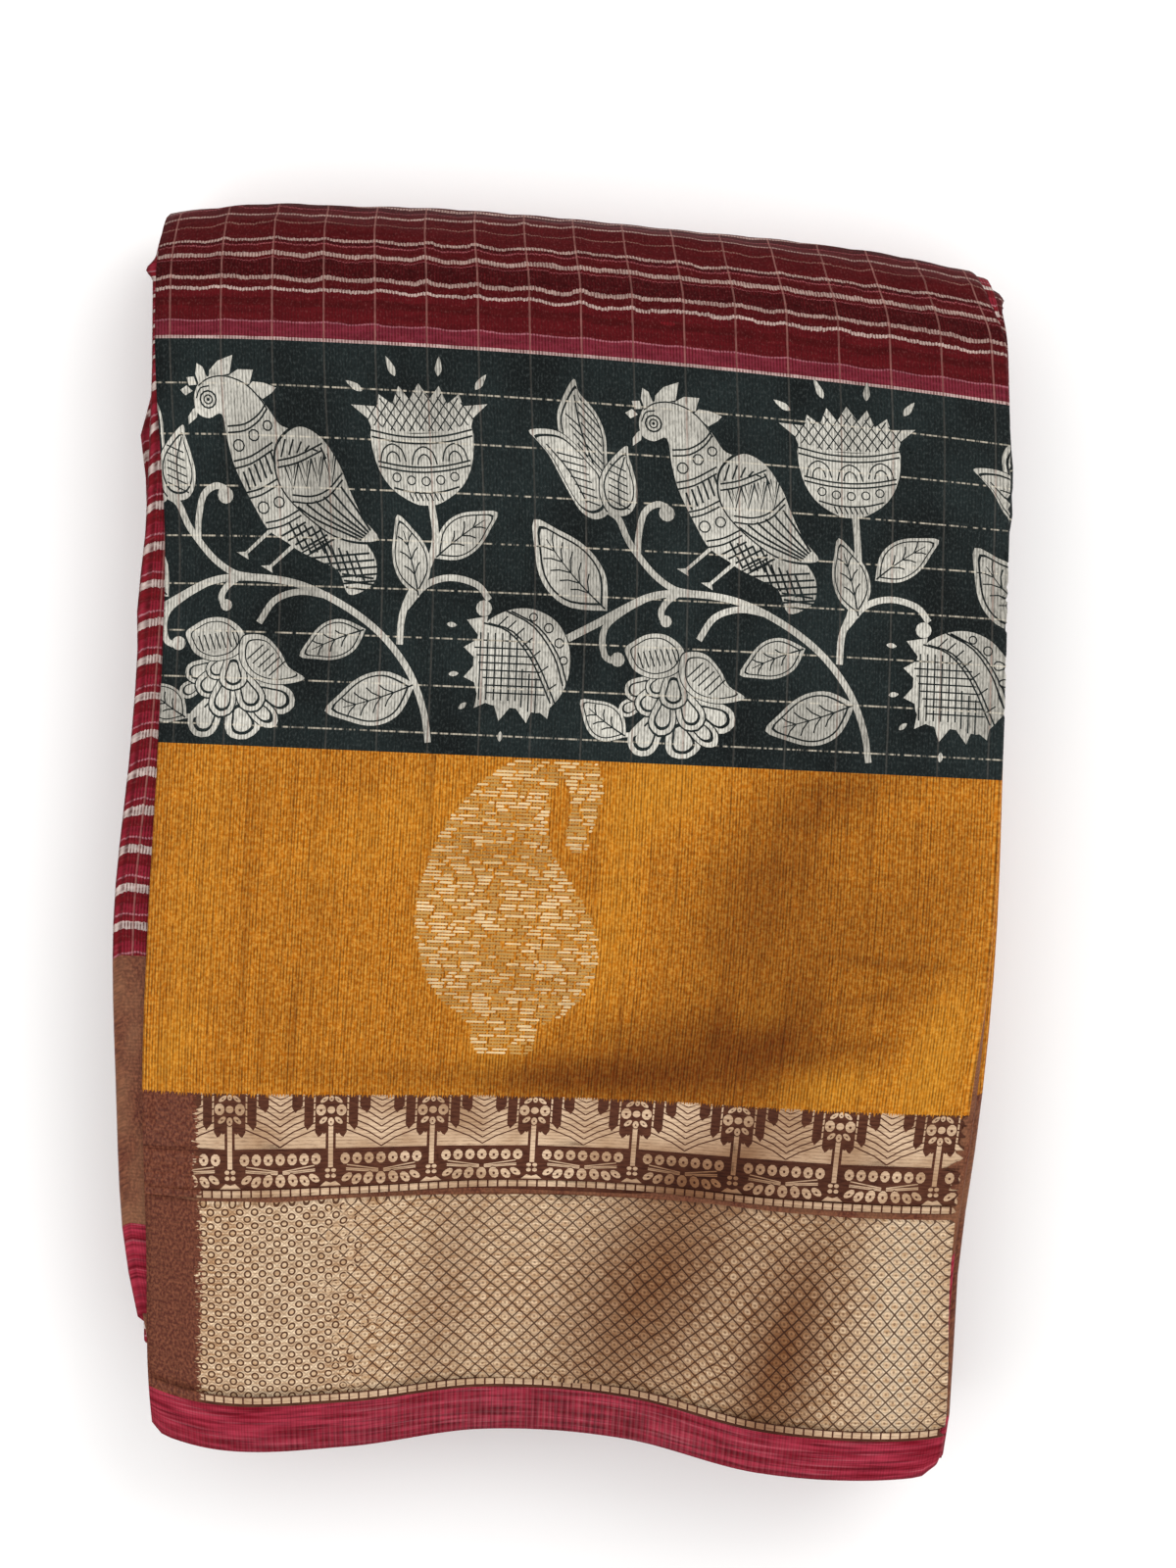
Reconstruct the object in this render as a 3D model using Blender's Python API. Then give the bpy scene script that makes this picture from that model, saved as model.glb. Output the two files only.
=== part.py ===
"""A silk sari folded into a pack that lies flat, front face up.

The cloth is folded in half across its width, so that a front leaf and a back leaf lie on each other, then back and
forth along its length, and last the whole stack is folded over once, round a roll at the far edge. It is one solid
sheet. X runs along the cloth's length, Y across it towards the roll, and Z is up. Lengths are in metres, and the
tables are in millimetres.
"""

import math
from collections import namedtuple

import bmesh
import bpy

MM = 0.001

# Driving sizes of the cloth and its folds
CLOTH_THICKNESS = 1.0 * MM
LAYER_GAP = 0.43 * MM
PASSES = 7
LEAF_PITCH = CLOTH_THICKNESS + LAYER_GAP
STACK_HALF = PASSES * 2 * LEAF_PITCH - LAYER_GAP / 2
LEAF_OFFSET = LEAF_PITCH / 2
SKIN = CLOTH_THICKNESS / 2
BACK_LENGTH = 258.0 * MM
PACK_CENTRE_X = -5.3 * MM
PACK_CENTRE_Y = -1.07 * MM

# Steps of the mesh round each kind of fold
TURN_STEPS = 4
ROLL_STEPS = 8
MID_FOLD_STEPS = 4
BACK_STEPS = 3

# Lines across the front leaf, from its hem to where the roll starts. along is the way up the cloth, left and right
# are the leaf's own edges, under_left_x is the edge of the folds that show past it on the left, bow is how far the
# line arches up the leaf in its middle, and hem_fade is how much of the hem's waves it shows.
ClothLine = namedtuple("ClothLine", "name along left_y right_y left_x right_x under_left_x bow hem_fade")
FRONT_LINES = (
    ClothLine("hem", 0.0, -138.0, -149.8, -101.0, 85.4, -100.5, 0.0, 1.0),
    ClothLine("selvedge", 11.0, -127.7, -141.1, -101.8, 87.4, -102.0, 0.5, 0.95),
    ClothLine("mid zari", 46.9, -95.7, -101.4, -102.3, 91.0, -108.6, 2.5, 0.5),
    ClothLine("zari top", 82.1, -60.1, -66.4, -103.2, 94.9, -110.9, 0.8, 0.13),
    ClothLine("mid mustard", 121.2, -20.7, -27.6, -101.8, 98.1, -112.6, 0.0, 0.0),
    ClothLine("mustard top", 162.3, 21.5, 12.5, -99.4, 99.7, -107.0, 0.2, 0.0),
    ClothLine("mid print", 210.0, 69.3, 60.0, -97.8, 100.4, -103.6, 1.4, 0.0),
    ClothLine("print top", 254.0, 117.0, 101.0, -100.6, 101.2, -102.0, 3.0, 0.0),
    ClothLine("roll start", 268.0, 131.0, 115.0, -100.4, 100.9, -102.6, 4.0, 0.0),
)
FRONT_LENGTH = FRONT_LINES[-1].along * MM
ROLL_LENGTH = math.pi * STACK_HALF

# The edges past the roll start: way round the cloth as a share of the roll, then of the back
EdgeLine = namedtuple("EdgeLine", "name roll_share back_share left_x right_x under_left_x")
BACK_LINES = (
    EdgeLine("crown of roll", 0.5, 0.0, -94.5, 96.0, -99.0),
    EdgeLine("back top", 1.0, 0.0, -99.0, 98.0, -102.5),
    EdgeLine("back middle", 1.0, 0.5, -101.0, 95.5, -106.0),
    EdgeLine("back end", 1.0, 1.0, -101.5, 86.5, -105.0),
)

# One row for each pass of the cloth, front first. Insets move its left and right edges inwards; two passes that a
# turn joins share the inset on that side. hem_a and hem_b are how far short of the front hem its two selvedges end,
# mid_fold is how far short of the back's full length its fold lies, and bulge is how far its turn rounds outwards.
FoldRow = namedtuple("FoldRow", "left_inset right_inset hem_a hem_b mid_fold bulge")
FOLDS = (
    FoldRow(0.0, 0.0, 0.0, 36.0, 0.0, 1.3),
    FoldRow(0.0, 0.0, 4.5, 38.0, 2.5, 1.5),
    FoldRow(0.0, -0.8, 6.0, 28.5, 6.0, 1.2),
    FoldRow(2.4, -0.8, 3.0, 33.0, 1.5, 1.6),
    FoldRow(2.4, 1.6, 8.0, 37.0, 4.5, 1.2),
    FoldRow(0.9, 1.6, 5.0, 31.0, 8.0, 1.4),
    FoldRow(0.9, 5.0, 7.0, 35.0, 3.0, 1.0),
)

# Shape across the leaf at fixed shares of its width: crown is the rise of the pack's top, hem_sway how far the hem
# bends up the leaf and hem_lift how far it rises, both fading up the leaf as hem_fade says.
AcrossKnot = namedtuple("AcrossKnot", "share crown hem_sway hem_lift")
ACROSS_KNOTS = (
    AcrossKnot(-0.08, -7.0, 0.8, 0.0),
    AcrossKnot(0.07, -0.6, -6.2, 0.4),
    AcrossKnot(0.25, 0.1, -3.4, 1.6),
    AcrossKnot(0.42, 0.4, 2.3, -1.2),
    AcrossKnot(0.60, 0.3, 2.1, -1.4),
    AcrossKnot(0.77, 0.1, -3.6, 1.2),
    AcrossKnot(0.93, -0.6, -3.6, 0.8),
    AcrossKnot(1.08, -6.0, 1.0, 0.0),
)
HEM_DROP = 1.6 * MM

CLOTH_COLOUR = (0.30, 0.012, 0.030, 1.0)
CLOTH_ROUGHNESS = 0.65


def between(value, places, amounts):
    """The amount at value on straight lines through the places, carried on past the first and last of them."""
    last = len(places) - 2
    i = max(0, min(last, sum(value > place for place in places[1:-1])))
    share = (value - places[i]) / (places[i + 1] - places[i])
    return amounts[i] + (amounts[i + 1] - amounts[i]) * share


def edge_places():
    """The way round the cloth of each edge line, from the front hem to the back end."""
    front = [line.along * MM for line in FRONT_LINES]
    back = [FRONT_LENGTH + line.roll_share * ROLL_LENGTH + line.back_share * BACK_LENGTH for line in BACK_LINES]
    return front + back


EDGE_PLACES = edge_places()
EDGE_COLUMNS = {
    column: [getattr(line, column) * MM for line in FRONT_LINES + BACK_LINES]
    for column in ("left_x", "right_x", "under_left_x")
}
LINE_PLACES = [line.along * MM for line in FRONT_LINES]
LEFT_YS = [line.left_y * MM for line in FRONT_LINES]
RIGHT_YS = [line.right_y * MM for line in FRONT_LINES]
BOWS = [line.bow * MM for line in FRONT_LINES]
HEM_FADES = [line.hem_fade for line in FRONT_LINES]
KNOT_SHARES = [knot.share for knot in ACROSS_KNOTS]
CROWNS = [knot.crown * MM for knot in ACROSS_KNOTS]
HEM_SWAYS = [knot.hem_sway * MM for knot in ACROSS_KNOTS]
HEM_LIFTS = [knot.hem_lift * MM for knot in ACROSS_KNOTS]


def edge(column, way):
    """X of one of the pack's edges at this way round the cloth."""
    return between(way, EDGE_PLACES, EDGE_COLUMNS[column])


def pack_point(x, depth, way):
    """Where a point lies, given its X, its depth under the pack's outer surface and its way round the cloth."""
    left, right = edge("left_x", way), edge("right_x", way)
    share = (x - left) / (right - left)
    radius = STACK_HALF - depth
    front_way = min(way, FRONT_LENGTH)
    hem = between(front_way, LINE_PLACES, HEM_FADES)
    swell = between(share, KNOT_SHARES, CROWNS) + hem * (between(share, KNOT_SHARES, HEM_LIFTS) - HEM_DROP)
    line_y = between(front_way, LINE_PLACES, LEFT_YS) * (1 - share)
    line_y += between(front_way, LINE_PLACES, RIGHT_YS) * share
    line_y += between(front_way, LINE_PLACES, BOWS) * 4 * share * (1 - share)
    line_y += hem * between(share, KNOT_SHARES, HEM_SWAYS)
    angle = min(max((way - FRONT_LENGTH) / STACK_HALF, 0.0), math.pi)
    reach = radius * (1 + swell / STACK_HALF * (1 + math.cos(angle)) / 2)
    y = line_y + reach * math.sin(angle) - max(way - FRONT_LENGTH - ROLL_LENGTH, 0.0)
    z = STACK_HALF + reach * math.cos(angle)
    return (x - PACK_CENTRE_X, y - PACK_CENTRE_Y, z)


def pass_depth(number):
    """Depth of the middle of a pass, between its two leaves."""
    return LEAF_OFFSET + SKIN + 2 * LEAF_PITCH * number


def pass_edge(number, side, way):
    """X where a pass ends on that side: the outermost pass has a cut end on the left, and the last one its own."""
    row = FOLDS[number]
    turn_reach = LEAF_PITCH + LEAF_OFFSET + SKIN
    if side == "left":
        if number == 0:
            return edge("left_x", way)
        bulge = FOLDS[number if number % 2 else number - 1].bulge
        return edge("under_left_x", way) + row.left_inset * MM + bulge * turn_reach
    bulge = FOLDS[number - number % 2].bulge
    return edge("right_x", way) - row.right_inset * MM - bulge * turn_reach


def length_stations():
    """Stations along the cloth: the pass, then a share across the leaf or an edge, or the angle of the turn after it."""
    inner = [("share", knot.share) for knot in ACROSS_KNOTS[1:-1]]
    stations = []
    for number in range(PASSES):
        across = [("edge", "left"), *inner, ("edge", "right")]
        if number % 2:
            across.reverse()
        stations += [(number, kind, value) for kind, value in across]
        if number < PASSES - 1:
            stations += [(number, "turn", math.pi * i / TURN_STEPS) for i in range(1, TURN_STEPS)]
    return stations


def across_stations():
    """Stations across the cloth, from the front selvedge round the roll and the mid fold to the under selvedge."""
    roll = [("roll", i / ROLL_STEPS) for i in range(1, ROLL_STEPS + 1)]
    back = [("back", i / BACK_STEPS) for i in range(1, BACK_STEPS + 1)]
    outward = [("front", i) for i in range(len(FRONT_LINES))] + roll + back
    fold = [("fold", math.pi * i / MID_FOLD_STEPS) for i in range(1, MID_FOLD_STEPS)]
    under_lines = sum(line.along > max(row.hem_b for row in FOLDS) for line in FRONT_LINES)
    under_end = [("front", len(FRONT_LINES) - 1 - i) for i in range(under_lines)] + [("under hem", 0)]
    under = [("back", 1.0)] + back[-2::-1] + [("back", 0.0)] + roll[-2::-1] + under_end
    return [(kind, value, 0.0) for kind, value in outward] + [("fold", a, a) for _, a in fold] + [
        (kind, value, math.pi) for kind, value in under
    ]


def fold_amount(station, column):
    """A column of the fold table at a station, in metres, eased from one pass to the next round a turn."""
    number, kind, value = station
    here = getattr(FOLDS[number], column)
    if kind != "turn":
        return here * MM
    share = value / math.pi
    return (here * (1 - share) + getattr(FOLDS[number + 1], column) * share) * MM


def way_of(station, across, skin):
    """The way round the cloth of a station across it, on the outer (skin 1) or inner (skin -1) face."""
    kind, value, _ = across
    back_start = FRONT_LENGTH + ROLL_LENGTH
    back_end = back_start + BACK_LENGTH - fold_amount(station, "mid_fold")
    if kind == "front":
        return max(LINE_PLACES[value], fold_amount(station, "hem_a")) if across[2] == 0 else LINE_PLACES[value]
    if kind == "under hem":
        return fold_amount(station, "hem_b")
    if kind == "roll":
        return FRONT_LENGTH + value * ROLL_LENGTH
    if kind == "back":
        return back_start + value * (back_end - back_start)
    return back_end + (LEAF_OFFSET + skin * SKIN) * math.sin(value)


def cloth_point(station, across, skin):
    """A point on the outer or inner face of the cloth."""
    number, kind, value = station
    way = way_of(station, across, skin)
    offset = (LEAF_OFFSET + skin * SKIN) * math.cos(across[2])
    if kind == "turn":
        side = "left" if number % 2 else "right"
        middle = (pass_depth(number) + pass_depth(number + 1)) / 2
        radius = LEAF_PITCH + (-offset if number % 2 else offset)
        outwards = FOLDS[number].bulge * radius * math.sin(value)
        x = pass_edge(number, side, way) + (-outwards if number % 2 else outwards)
        return pack_point(x, middle - radius * math.cos(value), way)
    if kind == "edge":
        x = pass_edge(number, value, way)
    else:
        x = edge("left_x", way) * (1 - value) + edge("right_x", way) * value
    return pack_point(x, pass_depth(number) + (offset if number % 2 else -offset), way)


def cloth_mesh():
    """The whole sheet: a grid for its outer face, a copy turned over for its inner face, and a bridge round the rim."""
    along, across = length_stations(), across_stations()
    bm = bmesh.new()
    bmesh.ops.create_grid(bm, x_segments=len(along) - 1, y_segments=len(across) - 1, size=0.5)
    copied = bmesh.ops.duplicate(bm, geom=bm.verts[:] + bm.edges[:] + bm.faces[:])
    inner = {item for item in copied["geom"] if isinstance(item, bmesh.types.BMVert)}
    bmesh.ops.reverse_faces(bm, faces=[item for item in copied["geom"] if isinstance(item, bmesh.types.BMFace)])
    for vert in bm.verts:
        i = round((vert.co.x + 0.5) * (len(along) - 1))
        j = round((vert.co.y + 0.5) * (len(across) - 1))
        vert.co = cloth_point(along[i], across[j], -1 if vert in inner else 1)
    rim = [item for item in bm.edges if item.is_boundary]
    bmesh.ops.bridge_loops(bm, edges=rim)
    bmesh.ops.triangulate(bm, faces=bm.faces[:])
    mesh = bpy.data.meshes.new("sari")
    bm.to_mesh(mesh)
    bm.free()
    return mesh


def cloth_material():
    material = bpy.data.materials.new("maroon_silk")
    material.use_nodes = True
    shader = material.node_tree.nodes["Principled BSDF"]
    shader.inputs["Base Color"].default_value = CLOTH_COLOUR
    shader.inputs["Roughness"].default_value = CLOTH_ROUGHNESS
    shader.inputs["Metallic"].default_value = 0.0
    return material


def main():
    for old in list(bpy.data.objects):
        bpy.data.objects.remove(old)
    mesh = cloth_mesh()
    mesh.materials.append(cloth_material())
    sari = bpy.data.objects.new("sari", mesh)
    bpy.context.scene.collection.objects.link(sari)
    mesh.shade_smooth()
    mesh.set_sharp_from_angle(angle=math.radians(50))


main()
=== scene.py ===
"""Looks of a silk sari folded into a flat pack, seen from above as on a shop table.

The outer leaf shows the border: crimson selvedge, zari brocade, a mustard band with a brocaded paisley,
a black
band printed with birds, flowers and vines, and the striped ground, which goes on over the roll and round the
back. The other folds lie under it. All lengths are in metres, and the tables are in millimetres.
"""

import math
import random
from collections import namedtuple

import bmesh
import bpy
import numpy as np
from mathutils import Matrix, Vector
from mathutils.geometry import delaunay_2d_cdt


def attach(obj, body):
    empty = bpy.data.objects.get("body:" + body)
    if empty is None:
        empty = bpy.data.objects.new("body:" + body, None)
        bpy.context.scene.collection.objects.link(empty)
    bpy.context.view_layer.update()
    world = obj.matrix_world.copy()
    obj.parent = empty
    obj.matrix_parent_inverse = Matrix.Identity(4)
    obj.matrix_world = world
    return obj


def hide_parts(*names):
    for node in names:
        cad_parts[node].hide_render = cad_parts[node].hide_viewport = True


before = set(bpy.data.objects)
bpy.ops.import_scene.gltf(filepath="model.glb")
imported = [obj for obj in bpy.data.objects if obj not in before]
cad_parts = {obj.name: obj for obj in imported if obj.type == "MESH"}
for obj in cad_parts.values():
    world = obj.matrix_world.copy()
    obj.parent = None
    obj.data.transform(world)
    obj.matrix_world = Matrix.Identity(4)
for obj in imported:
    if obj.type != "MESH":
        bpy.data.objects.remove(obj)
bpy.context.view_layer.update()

MM = 0.001

# The pack, as the frame has it
STACK_HALF = 19.8 * MM
BACK_LENGTH = 258.0 * MM
PACK_CENTRE_X = -5.3 * MM
PACK_CENTRE_Y = -1.07 * MM

# Lines across the front leaf, from its hem to where the roll starts: the way up the cloth, the leaf's own
# edges, the edge of the folds that show past it on the left, its arch in the middle and how much of the
# hem's waves it shows
ClothLine = namedtuple("ClothLine", "name along left_y right_y left_x right_x under_left_x bow hem_fade")
FRONT_LINES = [ClothLine(*row) for row in (
    ("hem", 0.0, -138.0, -149.8, -101.0, 84.8, -100.5, 0.0, 1.0),
    ("selvedge", 11.0, -127.7, -141.1, -101.8, 86.6, -101.6, 0.5, 0.95),
    ("mid zari", 46.9, -95.7, -101.4, -102.3, 89.4, -108.0, 2.5, 0.5),
    ("zari top", 82.1, -60.1, -66.4, -103.2, 94.4, -109.8, 0.8, 0.13),
    ("mid mustard", 121.2, -20.7, -27.6, -101.8, 98.1, -110.4, 0.0, 0.0),
    ("mustard top", 162.3, 21.5, 12.5, -99.4, 99.7, -106.2, 0.2, 0.0),
    ("mid print", 210.0, 69.3, 60.0, -97.8, 100.6, -102.8, 1.4, 0.0),
    ("print top", 254.0, 117.0, 101.0, -100.2, 101.4, -100.9, 3.0, 0.0),
    ("roll start", 268.0, 131.0, 115.0, -100.0, 101.0, -100.7, 4.0, 0.0),
)]
FRONT_LENGTH = FRONT_LINES[-1].along * MM
ROLL_LENGTH = math.pi * STACK_HALF
BACK_START = FRONT_LENGTH + ROLL_LENGTH

EdgeLine = namedtuple("EdgeLine", "name roll_share back_share left_x right_x under_left_x")
BACK_LINES = [EdgeLine(*row) for row in (
    ("crown of roll", 0.5, 0.0, -98.0, 98.4, -98.8),
    ("back top", 1.0, 0.0, -99.4, 98.0, -101.4),
    ("back middle", 1.0, 0.5, -101.0, 95.5, -106.0),
    ("back end", 1.0, 1.0, -101.5, 86.5, -105.0),
)]

# Shape across the leaf at shares of its width: the rise of the pack's top, and the waves of the hem, up the
# leaf and off the table
AcrossKnot = namedtuple("AcrossKnot", "share crown hem_sway hem_lift")
ACROSS_KNOTS = [AcrossKnot(*row) for row in (
    (-0.08, -7.0, 0.8, 0.0),
    (0.07, -0.6, -6.2, 0.4),
    (0.25, 0.1, -3.4, 1.6),
    (0.42, 0.4, 2.3, -1.2),
    (0.60, 0.3, 2.1, -1.4),
    (0.77, 0.1, -3.6, 1.2),
    (0.93, -0.2, -3.6, 0.8),
    (1.08, -3.4, 1.0, 0.0),
)]
HEM_DROP = 1.6 * MM

# The thin cloth and its passes: twice the frame's layers at half their spacing
CLOTH = 0.3 * MM
PASSES = 13
LEAF_PITCH = STACK_HALF / (2 * PASSES)
LEAF_OFFSET = LEAF_PITCH / 2

# Each pass's unevenness, in the frame's order: how far its edges draw in, how far its hems stop short of
# the front hem, how far its mid fold stops short of the back's end, and how far its turn rounds out
FoldRow = namedtuple("FoldRow", "left_inset right_inset hem_a hem_b mid_fold bulge")
FOLDS = [FoldRow(*row) for row in (
    (0.0, 0.0, 0.0, 27.0, 0.0, 1.3),
    (0.0, 0.0, 3.5, 29.5, 2.5, 1.9),
    (0.6, -0.6, 4.5, 26.5, 4.0, 1.2),
    (0.6, -0.6, 6.0, 31.0, 6.0, 1.6),
    (-0.4, -0.8, 4.0, 28.5, 2.5, 1.3),
    (-0.4, -0.8, 3.0, 33.0, 1.5, 2.0),
    (2.4, 0.9, 6.5, 30.0, 4.5, 1.4),
    (2.4, 0.9, 8.0, 34.0, 5.5, 1.2),
    (1.2, 1.6, 6.0, 29.0, 8.0, 1.8),
    (1.2, 1.6, 5.0, 31.0, 6.5, 1.3),
    (0.2, 3.4, 6.5, 35.0, 3.0, 1.5),
    (0.2, 3.4, 7.0, 33.0, 5.0, 1.2),
    (1.5, 5.0, 5.5, 31.0, 4.0, 1.0),
)]

# Bands of the cloth, measured from each selvedge
SELVEDGE_TOP = 11.0 * MM
ZARI_TOP = 82.1 * MM
MUSTARD_TOP = 162.3 * MM
PRINT_TOP = 254.0 * MM
FAR_SELVEDGE_TOP = 22.0 * MM
FAR_ZARI_TOP = 83.4 * MM
LEAF_WIDTH = 201.0 * MM

# Places up the cloth with how far the front leaf's right edge draws in from the folds', and its hem
# corners' rounding
RIGHT_INSET = (
    (0, 0.0), (11, 0.3), (45, 1.4), (78, 2.2), (110, 0.9), (150, 0.0), (262, 0.0), (270, 0.3), (280, 2.6),
    (292, 3.6), (305, 2.6), (330, 0.4),
)
CORNER = 5.0 * MM

# Where the folds' turns bunch and stand out as small loops: the turn's pass, its place up the cloth, half
# its length and how far out it stands
Loop = namedtuple("Loop", "number way half out")
LOOPS = [Loop(*row) for row in (
    (1, 272.0, 2.6, 2.0), (3, 276.0, 3.0, 1.3), (5, 262.0, 3.4, 0.9), (3, 236.0, 5.0, 2.2),
    (5, 231.0, 6.0, 2.8), (1, 196.0, 9.0, 1.0), (2, 290.0, 5.0, 1.8), (4, 296.0, 4.0, 2.6),
    (6, 286.0, 4.5, 1.4), (2, 236.0, 8.0, 1.0), (4, 228.0, 7.0, 1.2), (6, 204.0, 9.0, 0.9),
)]

# Steps of the nets: the front leaf's, those round the roll and on the back, and the folds' in their bands
FRONT_GRID = 2.5 * MM
ROLL_GRID = 2.2 * MM
BACK_GRID = 9.0 * MM
BORDER_GRID = 14.0 * MM
PRINT_GRID = 5.0 * MM
TURN_STEPS = 8


def smooth(value, places, amounts):
    """The amounts at value on one smooth curve through the places, straight past its ends."""
    value = np.asarray(value, dtype=float)
    places, amounts = np.asarray(places), np.asarray(amounts)
    slopes = np.gradient(amounts, places)
    i = np.clip(np.searchsorted(places, value) - 1, 0, len(places) - 2)
    span = places[i + 1] - places[i]
    t = (value - places[i]) / span
    past = t - np.clip(t, 0.0, 1.0)
    t = t - past
    curve = (1 + 2 * t) * (1 - t) ** 2 * amounts[i] + t * (1 - t) ** 2 * span * slopes[i]
    curve += t * t * (3 - 2 * t) * amounts[i + 1] + t * t * (t - 1) * span * slopes[i + 1]
    return curve + past * span * np.where(past < 0, slopes[i], slopes[i + 1])


def column(rows, name):
    return [getattr(row, name) * MM for row in rows]


LINE_PLACES = column(FRONT_LINES, "along")
EDGE_PLACES = LINE_PLACES + [
    FRONT_LENGTH + line.roll_share * ROLL_LENGTH + line.back_share * BACK_LENGTH for line in BACK_LINES
]
KNOT_SHARES = [knot.share for knot in ACROSS_KNOTS]
EDGES = {name: column(FRONT_LINES + BACK_LINES, name) for name in ("left_x", "right_x", "under_left_x")}


def edge(name, way):
    return smooth(way, EDGE_PLACES, EDGES[name])


# Soft creases of the front leaf: middle, run and half width in the cloth's own millimetres, the angle of
# the run from the hem, and height, below nothing for a trough
Crease = namedtuple("Crease", "u v angle half_run half_width height")
CREASES = [Crease(*row) for row in (
    (128, 118, 52, 34, 10, -0.9), (150, 140, 58, 30, 9, 0.7), (112, 96, 40, 26, 9, 0.8),
    (141, 92, 20, 24, 8, -0.8), (182, 118, 8, 15, 2.0, 0.45), (176, 111, 14, 13, 1.6, -0.4),
    (187, 105, 12, 16, 1.8, 0.4), (168, 99, 4, 18, 2.2, 0.35), (190, 90, 60, 18, 6, 0.6),
    (60, 130, 80, 34, 12, 0.5), (30, 108, 84, 30, 7, -0.45), (48, 100, 86, 16, 2.0, -0.35),
    (86, 150, 75, 22, 9, -0.5), (20, 140, 88, 34, 2.2, 0.3), (10, 125, 88, 30, 2.5, -0.35),
    (16, 6, 8, 9, 1.1, 0.7), (30, 4, -10, 10, 1.2, 0.8), (24, 8, 5, 14, 1.0, -0.6),
    (40, 6, 12, 9, 1.1, 0.6), (56, 5, -6, 12, 1.3, 0.5), (178, 6, 6, 14, 1.6, 0.5),
    (120, 5, 2, 16, 1.6, 0.4), (90, 264, -2, 70, 1.3, -0.35), (120, 268.5, -2, 60, 1.4, 1.0),
    (60, 271, -1, 40, 1.6, 0.9), (150, 264, -3, 36, 1.4, 0.8), (34, 283, -5, 30, 2.0, 1.2),
    (22, 291, 4, 24, 2.2, 1.2), (124, 286, -2, 52, 2.0, 1.0), (168, 293, -4, 26, 2.2, 1.2),
    (190, 282, 8, 14, 1.6, 1.0), (70, 295, 3, 36, 2.2, 1.1), (36, 7.5, 2, 22, 0.7, -0.6),
    (50, 3, 3, 24, 0.8, 0.5), (168, 7, -3, 22, 0.8, -0.5), (40, 200, 70, 30, 7, 0.35),
    (96, 190, 82, 36, 8, -0.35), (140, 215, 65, 34, 9, 0.4), (180, 200, 80, 30, 7, -0.4),
    (60, 40, 78, 34, 8, 0.4), (110, 34, 84, 34, 9, -0.35), (160, 40, 76, 30, 8, 0.4),
)]
CHECK_PITCH = 12.2 * MM
PUCKER_DEPTH = 0.35 * MM


def relief(u, v):
    """Height of the creases and puckers of the outer leaf."""
    height = np.zeros_like(u)
    for crease in CREASES:
        turn = math.radians(crease.angle)
        du, dv = u / MM - crease.u, v / MM - crease.v
        run = (du * math.cos(turn) + dv * math.sin(turn)) / crease.half_run
        across = (dv * math.cos(turn) - du * math.sin(turn)) / crease.half_width
        height += crease.height * MM * np.exp(-(run**2) - across**2)
    return height + ground_share(v) * PUCKER_DEPTH * (np.abs(np.sin(math.pi * u / CHECK_PITCH)) - 0.6)


def ground_share(v):
    """How much of the ground's puckers shows: all of it in the stripes, a little in the print."""
    rise = np.clip((v - (PRINT_TOP - 2 * MM)) / (6 * MM), 0.0, 1.0)
    return rise + 0.3 * (1 - rise) * np.clip((v - MUSTARD_TOP - 3 * MM) / (8 * MM), 0.0, 1.0)


def pack_points(x, depth, way, lift=0.0):
    """Where points lie, from their X, depth under the pack's outer surface and way round the cloth."""
    left, right = edge("left_x", way), edge("right_x", way)
    share = (x - left) / (right - left)
    front_way = np.minimum(way, FRONT_LENGTH)
    hem = smooth(front_way, LINE_PLACES, [line.hem_fade for line in FRONT_LINES])
    swell = smooth(share, KNOT_SHARES, column(ACROSS_KNOTS, "crown"))
    swell = swell + hem * (smooth(share, KNOT_SHARES, column(ACROSS_KNOTS, "hem_lift")) - HEM_DROP)
    line_y = smooth(front_way, LINE_PLACES, column(FRONT_LINES, "left_y")) * (1 - share)
    line_y += smooth(front_way, LINE_PLACES, column(FRONT_LINES, "right_y")) * share
    line_y += smooth(front_way, LINE_PLACES, column(FRONT_LINES, "bow")) * 4 * share * (1 - share)
    line_y += hem * smooth(share, KNOT_SHARES, column(ACROSS_KNOTS, "hem_sway"))
    angle = np.clip((way - FRONT_LENGTH) / STACK_HALF, 0.0, math.pi)
    facing = (1 + np.cos(angle)) / 2
    reach = (STACK_HALF - depth) * (1 + swell / STACK_HALF * facing) + lift * (0.25 + 0.75 * facing)
    y = line_y + reach * np.sin(angle) - np.maximum(way - BACK_START, 0.0)
    z = STACK_HALF + reach * np.cos(angle)
    return np.stack([x - PACK_CENTRE_X, y - PACK_CENTRE_Y, z], axis=-1)


def right_inset(way):
    places, amounts = zip(*RIGHT_INSET)
    return smooth(np.clip(way / MM, places[0], places[-1]), places, amounts) * MM


def loop_reach(number, way):
    """How far a turn's loops stand out at a place up the cloth."""
    return sum(loop.out * MM * math.exp(-(((way / MM - loop.way) / loop.half) ** 2))
               for loop in LOOPS if loop.number == number)


def turn_reach(row):
    return row.bulge * (LEAF_PITCH + LEAF_OFFSET)


def pass_depth(number):
    """Depth of the middle of a pass, between its two leaves."""
    return CLOTH / 2 + LEAF_OFFSET + 2 * LEAF_PITCH * number


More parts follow.
